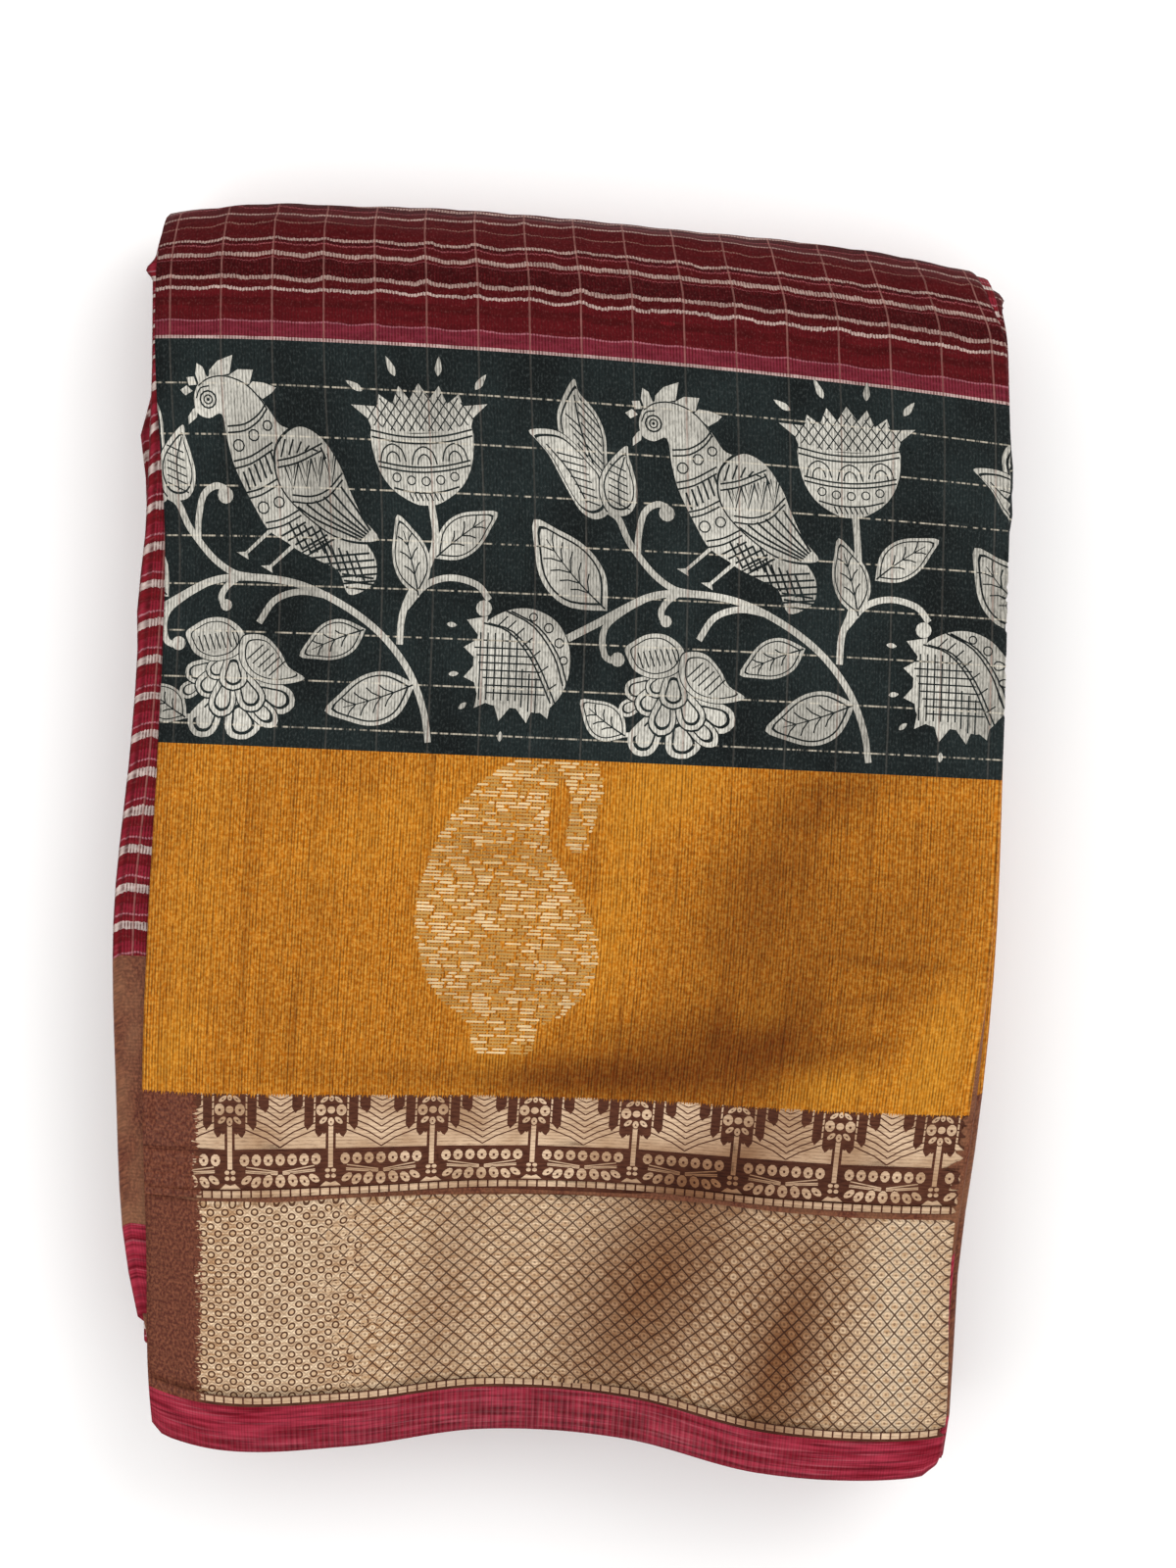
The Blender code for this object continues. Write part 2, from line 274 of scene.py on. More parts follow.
def new_sheet(name, points, faces, weave, face_slots, slots):
    """A thin sheet of cloth with its weave coordinates as an attribute and its finishes by face."""
    mesh = bpy.data.meshes.new(name)
    mesh.from_pydata([tuple(p) for p in points], [], faces)
    for slot in slots:
        mesh.materials.append(slot)
    mesh.polygons.foreach_set("material_index", face_slots)
    attribute = mesh.attributes.new("weave", "FLOAT_VECTOR", "POINT")
    attribute.data.foreach_set("vector", np.asarray(weave).ravel())
    mesh.shade_smooth()
    piece = bpy.data.objects.new(name, mesh)
    bpy.context.scene.collection.objects.link(piece)
    solid = piece.modifiers.new("cloth", "SOLIDIFY")
    solid.thickness = CLOTH
    solid.offset = 0.0
    return piece


def front_leaf_points(u, v):
    """The outer leaf: u runs along the hem and its turn, v from the hem over the roll to the mid fold."""
    row = FOLDS[0]
    depth = pass_depth(0) - LEAF_OFFSET
    mid_end = BACK_START + BACK_LENGTH
    way = np.minimum(v, mid_end)
    right = edge("right_x", way) - turn_reach(row) - right_inset(way)
    left = edge("left_x", way)
    turn = np.clip((u - LEAF_WIDTH) / LEAF_PITCH, 0.0, math.pi)
    radius = LEAF_PITCH + LEAF_OFFSET
    x = left + (right - left) * np.minimum(u / LEAF_WIDTH, 1.0) + row.bulge * radius * np.sin(turn)
    fold = np.clip((v - mid_end) / LEAF_OFFSET, 0.0, math.pi)
    way = mid_end + LEAF_OFFSET * np.sin(fold)
    way = np.where(v > mid_end, way, v)
    depth = depth + radius * (1 - np.cos(turn)) + LEAF_OFFSET * (1 - np.cos(fold))
    lift = relief(np.minimum(u, LEAF_WIDTH), v) * np.exp(-np.maximum(u - LEAF_WIDTH, 0.0) / MM)
    corner = np.clip((np.maximum(CORNER - u, u - LEAF_WIDTH + CORNER)) / CORNER, 0.0, 1.2) ** 3
    way = way + 0.45 * CORNER * corner * np.exp(-v / CORNER)
    return pack_points(x, depth, way, lift)


def grid_steps(stops, step):
    """Places from the first stop to the last, through each stop, about a step apart."""
    places = [stops[0]]
    for start, end in zip(stops, stops[1:]):
        count = max(1, round((end - start) / step))
        places += [start + (end - start) * i / count for i in range(1, count + 1)]
    return places


def front_leaf(slots, shapes):
    """The outer leaf as one sheet: its bands and every printed or brocaded shape cut into a fine net."""
    turn_length = LEAF_PITCH * math.pi
    columns = grid_steps([0.0, LEAF_WIDTH], FRONT_GRID)
    columns += [LEAF_WIDTH + turn_length * i / TURN_STEPS for i in range(1, TURN_STEPS + 1)]
    bands = (
        ("selvedge", 0.0, SELVEDGE_TOP),
        ("zari", SELVEDGE_TOP, ZARI_TOP),
        ("mustard", ZARI_TOP, MUSTARD_TOP),
        ("print_black", MUSTARD_TOP, PRINT_TOP),
        ("ground", PRINT_TOP, FRONT_LENGTH),
    )
    net_rows = grid_steps([0.0] + [top for _, _, top in bands], FRONT_GRID)
    corners, outlines, inks = [], [], []

    def outline(points, ink):
        first = len(corners)
        area = sum(a[0] * b[1] - a[1] * b[0] for a, b in zip(points, points[1:] + points[:1]))
        corners.extend(Vector(point) for point in (points if area > 0 else points[::-1]))
        outlines.append(list(range(first, len(corners))))
        inks.append(ink)

    for name, low, high in bands:
        rows = [row for row in net_rows if low <= row <= high]
        rim = [(c, low) for c in columns] + [(columns[-1], r) for r in rows[1:-1]]
        rim += [(c, high) for c in reversed(columns)] + [(0.0, r) for r in reversed(rows[1:-1])]
        outline(rim, name)
    for ink, points in shapes:
        outline(points, ink)
    for row in net_rows[1:-1]:
        corners.extend(Vector((c, row)) for c in columns[1:-1])
    net, _, faces, _, _, face_sources = delaunay_2d_cdt(corners, [], outlines, 1, 1e-7, True)
    kept, face_slots = [], []
    for face, sources in zip(faces, face_sources):
        if not sources or min(sources) >= len(bands):
            continue
        kept.append(list(face))
        face_slots.append(slots.index(inks[max(sources)]))
    uv = np.array([tuple(p) for p in net])
    back_rows = grid_steps([FRONT_LENGTH, BACK_START], ROLL_GRID)
    back_rows += grid_steps([BACK_START, BACK_START + BACK_LENGTH], BACK_GRID)[1:]
    fold_length = LEAF_OFFSET * math.pi
    back_rows += [back_rows[-1] + fold_length * i / 4 for i in range(1, 5)]
    top = {round(p[0] * 1e7): i for i, p in enumerate(uv) if abs(p[1] - FRONT_LENGTH) < 1e-8}
    ordered = [top[round(c * 1e7)] for c in columns]
    uv = np.concatenate([uv, [(c, r) for r in back_rows[1:] for c in columns]])
    grid = [ordered] + [
        [len(net) + j * len(columns) + i for i in range(len(columns))] for j in range(len(back_rows) - 1)
    ]
    for low, high in zip(grid, grid[1:]):
        for i in range(len(columns) - 1):
            kept.append([low[i], low[i + 1], high[i + 1], high[i]])
            face_slots.append(slots.index("ground"))
    points = front_leaf_points(uv[:, 0], uv[:, 1])
    weave = np.column_stack([uv, np.zeros(len(uv))])
    return points, kept, weave, face_slots


def folds_net():
    """The other folds: every pass from the second on, both leaves, and the inner leaf of the first."""
    across = [0.0, 0.035, 0.07, 0.16, 0.25, 0.42, 0.60, 0.77, 0.86, 0.93, 0.97, 1.0]
    outer = grid_steps([0.0, SELVEDGE_TOP, ZARI_TOP, MUSTARD_TOP], BORDER_GRID)
    outer += grid_steps([MUSTARD_TOP, PRINT_TOP, PRINT_TOP + 8 * MM], PRINT_GRID)[1:]
    inner = grid_steps([0.0, FAR_SELVEDGE_TOP, FAR_ZARI_TOP, 220 * MM], BACK_GRID)
    roll = [0.02 * i for i in range(8)] + [0.17, 0.21, 0.27, 0.33, 0.39, 0.45, 0.52, 0.6, 0.7, 0.8, 0.9, 1.0]
    back = [i / 8 for i in range(1, 9)]
    rows = [("a", v, 0.0) for v in outer] + [("roll", r, 0.0) for r in roll]
    rows += [("back", b, 0.0) for b in back]
    rows += [("fold", math.pi * i / 4, math.pi * i / 4) for i in range(1, 4)]
    rows += [("back", b, math.pi) for b in reversed(back)] + [("roll", r, math.pi) for r in reversed(roll)]
    rows += [("b", v, math.pi) for v in reversed(inner)]
    stations = []
    for number in range(PASSES):
        stations += [(number, "flat", s) for s in (across if number % 2 == 0 else reversed(across))]
        if number < PASSES - 1:
            stations += [(number, "turn", math.pi * i / 6) for i in range(1, 6)]
    return stations, rows


def fold_rows_at(station):
    """The unevenness at a station, eased from one pass to the next round a turn."""
    number, kind, value = station
    here = FOLDS[number]
    if kind != "turn":
        return here
    share = value / math.pi
    after = FOLDS[number + 1]
    return FoldRow(*(a * (1 - share) + b * share for a, b in zip(here, after)))


def pass_edges(number, way):
    """X where a pass's flat leaf ends on its left and its right."""
    row = FOLDS[number]
    left_turn = FOLDS[number if number % 2 else max(number - 1, 0)]
    right_turn = FOLDS[number - number % 2]
    left = edge("left_x", way)
    if number:
        left = edge("under_left_x", way) + row.left_inset * MM + turn_reach(left_turn)
    return left, edge("right_x", way) - row.right_inset * MM - turn_reach(right_turn)


def fold_point(station, row):
    """A point of the folds, with its weave coordinates."""
    number, kind, value = station
    row_kind, place, fold = row
    uneven = fold_rows_at(station)
    back_end = BACK_START + BACK_LENGTH - uneven.mid_fold * MM
    cloth_v = place
    if row_kind == "a":
        way = place + uneven.hem_a * MM
        if place >= PRINT_TOP:
            way = min(way, FRONT_LENGTH - MM)
    elif row_kind == "b":
        way = place + uneven.hem_b * MM
        cloth_v = -place
    elif row_kind == "roll":
        way = FRONT_LENGTH + place * ROLL_LENGTH
        cloth_v = way if fold == 0.0 else -way
    elif row_kind == "back":
        way = BACK_START + place * (back_end - BACK_START)
        cloth_v = way if fold == 0.0 else -way
    else:
        way = back_end + LEAF_OFFSET * math.sin(fold)
        cloth_v = way
    offset = LEAF_OFFSET * math.cos(fold)
    left, right = pass_edges(number, way)
    if kind == "turn":
        right_side = number % 2 == 0
        radius = LEAF_PITCH + (offset if right_side else -offset)
        out = (FOLDS[number].bulge * radius + loop_reach(number, way)) * math.sin(value)
        x = right + out if right_side else left - out
        depth = (pass_depth(number) + pass_depth(number + 1)) / 2 - radius * math.cos(value)
    else:
        x = left + (right - left) * value
        depth = pass_depth(number) + (offset if number % 2 else -offset)
    return x, depth, way, cloth_v


def folds(slots):
    """The folds as one net, without the outer leaf, which is its own finer piece."""
    stations, rows = folds_net()
    first_flat = sum(number == 0 for number, _, _ in stations)
    table = np.array([[fold_point(station, row) for row in rows] for station in stations])
    shape = table.shape[:2]
    lengths = np.zeros(len(stations))
    for i in range(1, len(stations)):
        lengths[i] = lengths[i - 1] + np.hypot(*(table[i, 5, :2] - table[i - 1, 5, :2]))
    x, depth, way, cloth_v = (table[:, :, k].ravel() for k in range(4))
    u = np.repeat(lengths, shape[1])
    fade = np.exp(-depth / (3 * MM))
    lift = relief(np.clip(x - edge("left_x", way), 0, LEAF_WIDTH), way) * fade
    points = pack_points(x, depth, way, lift)
    faces, face_slots = [], []
    mid_fold = next(i for i, row in enumerate(rows) if row[0] == "fold")
    for i in range(shape[0] - 1):
        for j in range(shape[1] - 1):
            if i < first_flat and j < mid_fold + 2:
                continue
            a = i * shape[1] + j
            faces.append([a, a + shape[1], a + shape[1] + 1, a + 1])
            face_slots.append(slots.index(fold_slot(rows[j], rows[j + 1])))
    used = sorted({i for face in faces for i in face})
    renamed = {old: new for new, old in enumerate(used)}
    faces = [[renamed[i] for i in face] for face in faces]
    weave = np.column_stack([u, cloth_v, np.zeros(len(u))])
    return points[used], faces, weave[used], face_slots


def fold_slot(low, high):
    """The finish between two rows of the folds."""
    kinds = {low[0], high[0]}
    middle = (low[1] + high[1]) / 2
    if kinds == {"a"}:
        for name, top in (
            ("selvedge", SELVEDGE_TOP), ("zari", ZARI_TOP), ("mustard", MUSTARD_TOP),
            ("print_black", PRINT_TOP),
        ):
            if middle < top:
                return name
    if kinds == {"b"}:
        if middle < FAR_SELVEDGE_TOP:
            return "selvedge"
        if middle < FAR_ZARI_TOP:
            return "zari"
    return "ground"


# Drawing
LIGHT = "print_white"
DARK = "print_black"
LINE = 0.42
VINE = 1.75


def through(points, closed=False, steps=4):
    """A smooth line through given points."""
    points = [Vector(point) for point in points]
    count = len(points)
    line = []
    for i in range(count if closed else count - 1):
        if closed:
            a, b, c, d = (points[(i + k) % count] for k in (-1, 0, 1, 2))
        else:
            b, c = points[i], points[i + 1]
            a = points[i - 1] if i else 2 * b - c
            d = points[i + 2] if i + 2 < count else 2 * c - b
        for k in range(steps):
            t = k / steps
            bend = (2 * a - 5 * b + 4 * c - d) * t * t + (3 * b - a - 3 * c + d) * t**3
            line.append((2 * b + (c - a) * t + bend) / 2)
    return line if closed else line + [points[-1]]


def rounded(points, steps=4):
    return through(points, True, steps)


def ribbon(points, width, end_width=None, ink=LIGHT):
    """A stroke along a line, that may taper to its end."""
    points = [Vector(point) for point in points]
    end_width = width if end_width is None else end_width
    left, right = [], []
    for i, point in enumerate(points):
        run = points[min(i + 1, len(points) - 1)] - points[max(i - 1, 0)]
        side = Vector((-run.y, run.x)).normalized()
        half = (width + (end_width - width) * i / (len(points) - 1)) / 2
        left.append(point + side * half)
        right.append(point - side * half)
    return (ink, left + right[::-1])


def vine(points, width=VINE, end_width=None):
    return [ribbon(through(points), width, end_width)]


def line(*points, width=LINE):
    return ribbon(points, width, ink=DARK)


def bow(points, width=LINE):
    return ribbon(through(points, steps=3), width, ink=DARK)


def twice(points, step_x, step_y):
    """A bow, and the same one a step on."""
    return [bow(points), bow([(x + step_x, y + step_y) for x, y in points])]


def oval(x, y, half_x, half_y, ink=LIGHT, turn=0.0, sides=14):
    angles = [2 * math.pi * i / sides for i in range(sides)]
    outline = [(half_x * math.cos(angle), half_y * math.sin(angle)) for angle in angles]
    return placed([(ink, outline)], x, y, turn)[0]


def ring(x, y, radius, width=LINE, sides=12):
    inner = radius - width
    return [oval(x, y, radius, radius, DARK, sides=sides), oval(x, y, inner, inner, sides=sides)]


def shrunk(outline, share):
    """An outline drawn in towards its middle."""
    middle = sum((Vector(point) for point in outline), Vector((0, 0))) / len(outline)
    return [middle + (Vector(point) - middle) * share for point in outline]


def lined(outline, outer=0.87, inner=0.81):
    """A light shape with a dark line inside its edge."""
    return [(LIGHT, outline), (DARK, shrunk(outline, outer)), (LIGHT, shrunk(outline, inner))]


def placed(shapes, x, y, turn=0.0, size=1.0):
    """Shapes turned and sized about the origin, then moved."""
    c, s = size * math.cos(math.radians(turn)), size * math.sin(math.radians(turn))
    return [
        (ink, [Vector((x + p * c - q * s, y + p * s + q * c)) for p, q in outline]) for ink, outline in shapes
    ]


def leaf(base, tip, half_width, bend=0.12, veins=5):
    """A leaf from its base to its tip, bulging more on one side, with a midrib and veins."""
    base, tip = Vector(base), Vector(tip)
    run = tip - base
    side = Vector((-run.y, run.x)).normalized() * half_width
    middle = [base + run * t + side * bend * 4 * t * (1 - t) for t in (0.0, 0.2, 0.4, 0.6, 0.8, 1.0)]
    widths = (0.08, 0.78, 1.0, 0.9, 0.52, 0.0)
    outline = [m + side * w for m, w in zip(middle, widths)]
    outline += [m - side * w for m, w in zip(middle[-2::-1], widths[-2::-1])]
    shapes = lined(rounded(outline, 3))
    shapes.append(ribbon(through(middle[:-1], steps=2), LINE, LINE / 2, DARK))
    for i in range(1, veins):
        t = 0.08 + 0.72 * i / veins
        start = base + run * t + side * bend * 4 * t * (1 - t)
        reach = 0.52 * (1 - abs(t - 0.4))
        for hand in (1, -1):
            end = start + run * 0.13 + side * hand * reach
            shapes.append(line(start, (start + end) / 2 + run * 0.02, end, width=LINE * 0.8))
    return shapes


def drop(x, y, turn, length=3.4):
    outline = rounded([(0, 0), (0.55, 0.9), (0.5, 1.8), (0, length * 0.72), (-0.5, 1.8), (-0.55, 0.9)], 2)
    return placed([(LIGHT, outline)], x, y, turn, length / 3.4)


def hatch(start, end, step, count, width=LINE):
    """Parallel lines, each a step on from the last."""
    start, end, step = Vector(start), Vector(end), Vector(step)
    return [line(start + step * i, end + step * i, width=width) for i in range(count)]


def bird():
    """A standing bird that looks left: crest, banded neck, hatched wing, checked tail."""
    body = rounded([
        (10.6, 84.4), (14.3, 84.9), (18.9, 83.6), (22.8, 80.3), (25.3, 77.0), (27.8, 74.0), (34.0, 72.0),
        (40.0, 64.0), (43.4, 57.0), (46.0, 50.0), (48.9, 45.4), (49.2, 40.8), (47.4, 38.4), (42.7, 36.7),
        (40.2, 42.0), (35.8, 44.2), (30.8, 46.4), (28.1, 48.2), (23.5, 51.0), (20.5, 55.7), (17.8, 60.9),
        (15.9, 65.3), (14.7, 70.4), (13.7, 76.2), (10.6, 75.3), (7.9, 76.4), (7.2, 79.6), (8.4, 82.8),
    ])
    plumes = (
        [(7.0, 81.2), (5.6, 82.4), (4.0, 81.4), (5.2, 80.2)],
        [(8.0, 82.6), (7.4, 84.4), (5.6, 84.2), (6.2, 82.4)],
        [(10.6, 84.2), (9.6, 86.6), (8.2, 87.4), (7.8, 85.0), (8.6, 82.6)],
        [(16.0, 85.2), (16.4, 87.2), (16.8, 89.4), (13.2, 88.0), (11.2, 85.9), (11.0, 84.2)],
        [(20.6, 83.0), (21.6, 86.2), (18.0, 86.2), (15.8, 84.8), (16.4, 83.8)],
        [(23.6, 79.8), (25.8, 81.2), (26.9, 82.4), (24.0, 83.4), (21.4, 83.6), (20.2, 82.4)],
    )
    beak = [(8.2, 78.0), (7.6, 75.4), (5.6, 73.9), (5.6, 75.6), (6.8, 77.2)]
    shapes = [(LIGHT, part) for part in (*plumes, beak, body)]
    crest = [(8.4, 82.4), (11.0, 84.1), (15.0, 84.6), (19.6, 83.0), (23.0, 79.8), (24.6, 77.4)]
    shapes.append(bow(crest, 0.34))
    shapes.append(bow([(7.8, 79.6), (8.8, 81.8), (11.0, 82.4)], 0.34))
    shapes += ring(10.6, 79.4, 2.1) + ring(10.6, 79.4, 1.15, 0.34)
    shapes.append(oval(10.6, 79.4, 0.4, 0.4, DARK, sides=8))
    shapes += twice([(14.9, 73.6), (19.0, 74.2), (22.4, 76.4), (24.4, 79.0)], 0.0, -1.4)
    for x, y, radius in ((17.3, 69.5, 1.45), (21.0, 71.8, 1.4), (24.4, 74.0, 1.25)):
        shapes += ring(x, y, radius, 0.36, 10)
    shapes += twice([(15.8, 66.0), (20.0, 67.2), (25.4, 70.4)], 0.0, -1.6)
    shapes += hatch((18.0, 63.8), (19.4, 59.8), (1.35, 0.9), 6, 0.5)
    shapes += twice([(18.4, 59.2), (22.0, 60.2), (26.0, 62.4)], 0.0, -1.4)
    shapes += ring(22.4, 56.0, 1.5, 0.36, 10) + ring(26.2, 57.3, 1.4, 0.36, 10)
    shapes += twice([(22.8, 52.6), (27.0, 53.6), (31.4, 56.0)], 0.0, -1.5)
    shapes += hatch((26.4, 49.6), (32.4, 53.0), (1.7, -0.9), 5, 0.5)
    shapes += hatch((28.4, 52.8), (31.6, 46.6), (1.8, -0.2), 5, 0.5)
    shapes += hatch((31.0, 45.8), (37.6, 49.4), (0.0, -1.3), 2, 0.38)
    shapes += hatch((33.2, 44.8), (47.6, 46.4), (1.2, -1.5), 5, 0.5)
    shapes += hatch((36.4, 48.6), (38.8, 42.4), (1.9, -0.6), 5, 0.5)
    shapes += hatch((41.0, 41.4), (48.6, 40.6), (0.5, -1.5), 3, 0.5)
    wing = rounded([
        (25.3, 66.0), (26.0, 70.0), (29.0, 73.4), (32.6, 74.6), (37.3, 72.0), (41.1, 66.4), (43.4, 60.6),
        (46.5, 54.2), (50.4, 49.2), (45.0, 48.4), (39.2, 49.8), (33.5, 53.4), (28.5, 57.9), (26.0, 62.0),
    ])
    shapes += [(DARK, wing), (LIGHT, shrunk(wing, 0.955))]
    for i in range(6):
        x = 27.2 + 1.9 * i
        shapes.append(line((x, 67.2 + 0.5 * i), (x + 1.2, 71.2 + 0.2 * i - 0.2 * i * i), width=0.42))
    shapes += twice([(26.2, 66.4), (31.0, 67.6), (37.2, 70.6)], 0.0, -1.5)
    shapes += twice([(29.4, 59.0), (34.0, 58.8), (38.0, 60.4), (41.6, 64.2)], 0.0, -1.5)
    for i in range(4):
        x = 28.0 + 3.1 * i
        top = 65.2 + 1.0 * i
        shapes.append(line((x, top), (x + 1.7, 60.2 + 0.4 * i), (x + 3.2, top + 0.8), width=0.42))
        shapes.append(line((x + 0.9, top + 0.2), (x + 1.8, 62.6 + 0.5 * i), (x + 2.5, top + 0.5), width=0.3))
    for i in range(6):
        start = (30.6 + 2.1 * i, 56.4 + 0.55 * i + 0.08 * i * i)
        middle = (35.4 + 1.9 * i, 53.4 + 0.5 * i)
        shapes.append(bow([start, middle, (45.6 + 0.45 * i, 49.3 + 0.45 * i)], 0.5))
    legs = []
    for foot_x, foot_y, hip_x, hip_y in ((18.0, 45.6, 24.4, 51.4), (23.8, 42.6, 29.4, 47.6)):
        legs.append(ribbon([(hip_x, hip_y), (foot_x, foot_y)], 0.9, 0.7))
        foot = [(foot_x + 0.3, foot_y + 0.4), (foot_x - 2.2, foot_y + 0.2), (foot_x + 0.6, foot_y - 1.4)]
        legs.append((LIGHT, foot))
    return legs + shapes


def lotus():
    """An open lotus on its stem: latticed petals, a band of arches, a band of rings and a striped base."""
    side = ((10.5, 17.6), (16.2, 22.4), (8.6, 21.8), (8.0, 16.4))
    shapes = [(LIGHT, [(hand * x, y) for x, y in side]) for hand in (-1, 1)]
    crown = [
        (-11.4, 16.0), (-12.8, 20.0), (-10.4, 21.0), (-9.4, 24.6), (-6.4, 22.4), (-4.6, 26.4), (-2.2, 23.6),
        (0.2, 27.0), (2.6, 23.6), (5.0, 26.4), (6.6, 22.4), (9.6, 24.6), (10.6, 21.0), (12.8, 20.0),
        (11.4, 16.0),
    ]
    shapes.append((LIGHT, crown))
    for i in range(11):
        x = -14.4 + 2.3 * i
        rise = 9.4 - abs(x + 3.4) * 0.28
        shapes.append(line((x, 16.4), (x + 0.72 * rise, 16.4 + rise), width=0.3))
        shapes.append(line((-x, 16.4), (-x - 0.72 * rise, 16.4 + rise), width=0.3))
    cup = rounded([
        (-11.8, 17.6), (-11.6, 10.0), (-8.6, 4.0), (-3.4, 0.4), (0.0, -0.2), (3.4, 0.4), (8.6, 4.0),
        (11.6, 10.0), (11.8, 17.6), (6.0, 16.2), (0.0, 15.8), (-6.0, 16.2),
    ], 3)
    shapes.append((LIGHT, cup))
    shapes += twice([(-12.0, 16.7), (-6.0, 15.4), (0.0, 15.0), (6.0, 15.4), (12.0, 16.7)], 0.0, -1.4)
    for x, low in ((-7.4, 9.6), (0.0, 8.9), (7.4, 9.6)):
        for half, top in ((3.0, 4.0), (1.6, 2.3)):
            shapes.append(bow([(x - half, low), (x - half * 0.72, low + top * 0.68), (x, low + top),
                               (x + half * 0.72, low + top * 0.68), (x + half, low)], 0.36))
    shapes += twice([(-11.0, 9.8), (-5.5, 8.7), (0.0, 8.3), (5.5, 8.7), (11.0, 9.8)], 0.0, -1.1)
    for x in (-6.9, -3.5, 0.0, 3.5, 6.9):
        shapes += ring(x, 5.2 + 0.02 * x * x, 1.15, 0.32, 10)
    shapes.append(bow([(-7.8, 3.9), (-4.0, 2.9), (0.0, 2.6), (4.0, 2.9), (7.8, 3.9)]))
    shapes += hatch((-4.2, 2.6), (-3.4, 0.8), (1.2, 0.0), 7, 0.34)
    for row in ((-13.2, 25.4, 58, 4.6), (13.6, 25.6, -40, 4.6), (-5.2, 28.6, 22, 4.8), (5.0, 28.6, -8, 4.6)):
        shapes += drop(*row)
    return shapes


def tulip():
    """A bud of three petals: a tall one behind, a wide one in front and a short one beside them."""
    tall = rounded([
        (-3.4, 5.0), (-8.4, 15.0), (-10.0, 22.0), (-8.8, 26.6), (-5.8, 31.6), (-4.6, 28.6), (-1.0, 24.6),
        (1.1, 20.0), (1.5, 15.0), (1.0, 6.0),
    ])
    shapes = lined(tall, 0.88, 0.82)
    shapes.append(bow([(-5.8, 28.0), (-4.4, 20.0), (-0.8, 10.0)], 0.38))
    for i in range(6):
        shapes.append(line((-8.0 + 0.9 * i, 23.6 - 2.2 * i), (-4.4 + 0.5 * i, 20.6 - 2.2 * i), width=0.34))
        shapes.append(line((-5.4 + 0.5 * i, 26.6 - 2.4 * i), (0.2 + 0.1 * i, 20.6 - 2.0 * i), width=0.34))
    front = rounded([
        (-16.8, 19.2), (-13.0, 19.8), (-9.2, 19.1), (-5.4, 16.2), (-2.3, 12.9), (0.4, 9.8), (1.4, 5.0),
        (1.5, 1.2), (-1.5, -0.3), (-4.6, 1.1), (-6.9, 4.2), (-9.6, 9.0), (-12.2, 13.8), (-14.9, 17.0),
    ])
    shapes += [(DARK, shrunk(front, 1.03))] + lined(front, 0.88, 0.82)
    for i in range(7):
        shapes.append(line((-10.4 + 1.05 * i, 14.6 - 1.75 * i), (-4.0 + 0.62 * i, 13.4 - 1.75 * i),
                           width=0.34))
    shapes.append(bow([(-12.8, 16.4), (-7.4, 10.4), (-3.4, 3.4)], 0.34))
    short = rounded([
        (6.3, 17.2), (3.1, 14.4), (0.4, 10.7), (-0.4, 6.7), (0.8, 2.6), (3.1, 0.9), (6.1, 1.1), (8.0, 3.3),
        (8.6, 7.0), (7.7, 11.5), (6.7, 14.8),
    ])
    shapes += [(DARK, shrunk(short, 1.05))] + lined(short, 0.82, 0.75)
    for i in range(6):
        shapes.append(line((1.6 + 0.1 * i, 4.8 + 1.6 * i), (6.8 - 0.15 * i, 2.4 + 1.75 * i), width=0.32))
    shapes.append(bow([(5.8, 14.6), (4.2, 9.0), (4.4, 3.0)], 0.34))
    return shapes


def petal(base, tip, half_width):
    """A round-ended petal: a dark rim, a light body and a dark loop inside it."""
    base, tip = Vector(base), Vector(tip)
    run = tip - base
    side = Vector((-run.y, run.x)).normalized() * half_width
    half = [(0.0, 0.4), (0.3, 0.7), (0.65, 1.0), (0.88, 0.8), (1.0, 0.0)]
    outline = [base + run * t + side * w for t, w in half]
    outline += [base + run * t - side * w for t, w in half[-2::-1]]
    body = rounded(outline, 2)
    loop = [base + run * 0.24 + (point - base) * 0.66 for point in body]
    return [(DARK, shrunk(body, 1.1)), (LIGHT, body), (DARK, loop), (LIGHT, shrunk(loop, 0.78))]


def blossom():
    """A full flower from the side: two hatched upper petals over three rows of round ones."""
    shapes = []
    for base_x, base_y, tip_x, tip_y, half in (
        (10.0, 15.6, 3.0, 11.6, 2.0), (19.0, 14.6, 30.6, 9.8, 3.4), (13.4, 13.0, 7.0, 2.0, 3.7),
        (16.4, 12.0, 19.6, 1.6, 4.3), (16.0, 14.0, 26.6, 5.0, 2.6), (11.6, 20.0, 4.4, 15.8, 2.6),
        (13.0, 19.0, 8.2, 11.6, 3.0), (15.0, 18.0, 12.6, 6.8, 3.1), (16.6, 18.0, 21.8, 8.6, 3.2),
        (14.4, 22.0, 10.2, 16.0, 2.4), (15.6, 22.6, 15.8, 13.2, 3.2),
    ):
        shapes += petal((base_x, base_y), (tip_x, tip_y), half)
    left = rounded([
        (3.8, 26.6), (5.8, 28.4), (9.2, 30.2), (13.6, 30.2), (17.4, 27.6), (18.2, 24.2), (15.6, 21.2),
        (10.8, 20.0), (6.6, 21.4), (4.8, 23.8),
    ])
    shapes += [(DARK, shrunk(left, 1.04))] + lined(left, 0.82, 0.77)
    shapes += hatch((6.9, 25.9), (8.3, 22.2), (1.35, 0.25), 7, 0.34)
    right = rounded([
        (17.4, 25.4), (19.8, 26.6), (23.4, 26.0), (26.8, 22.6), (29.0, 19.0), (32.8, 16.6), (29.4, 15.2),
        (24.6, 15.0), (19.8, 16.8), (17.2, 20.6),
    ])
    shapes += [(DARK, shrunk(right, 1.04))] + lined(right, 0.82, 0.77)
    shapes += hatch((18.9, 20.6), (22.6, 24.2), (1.35, -0.95), 5, 0.34)
    return shapes


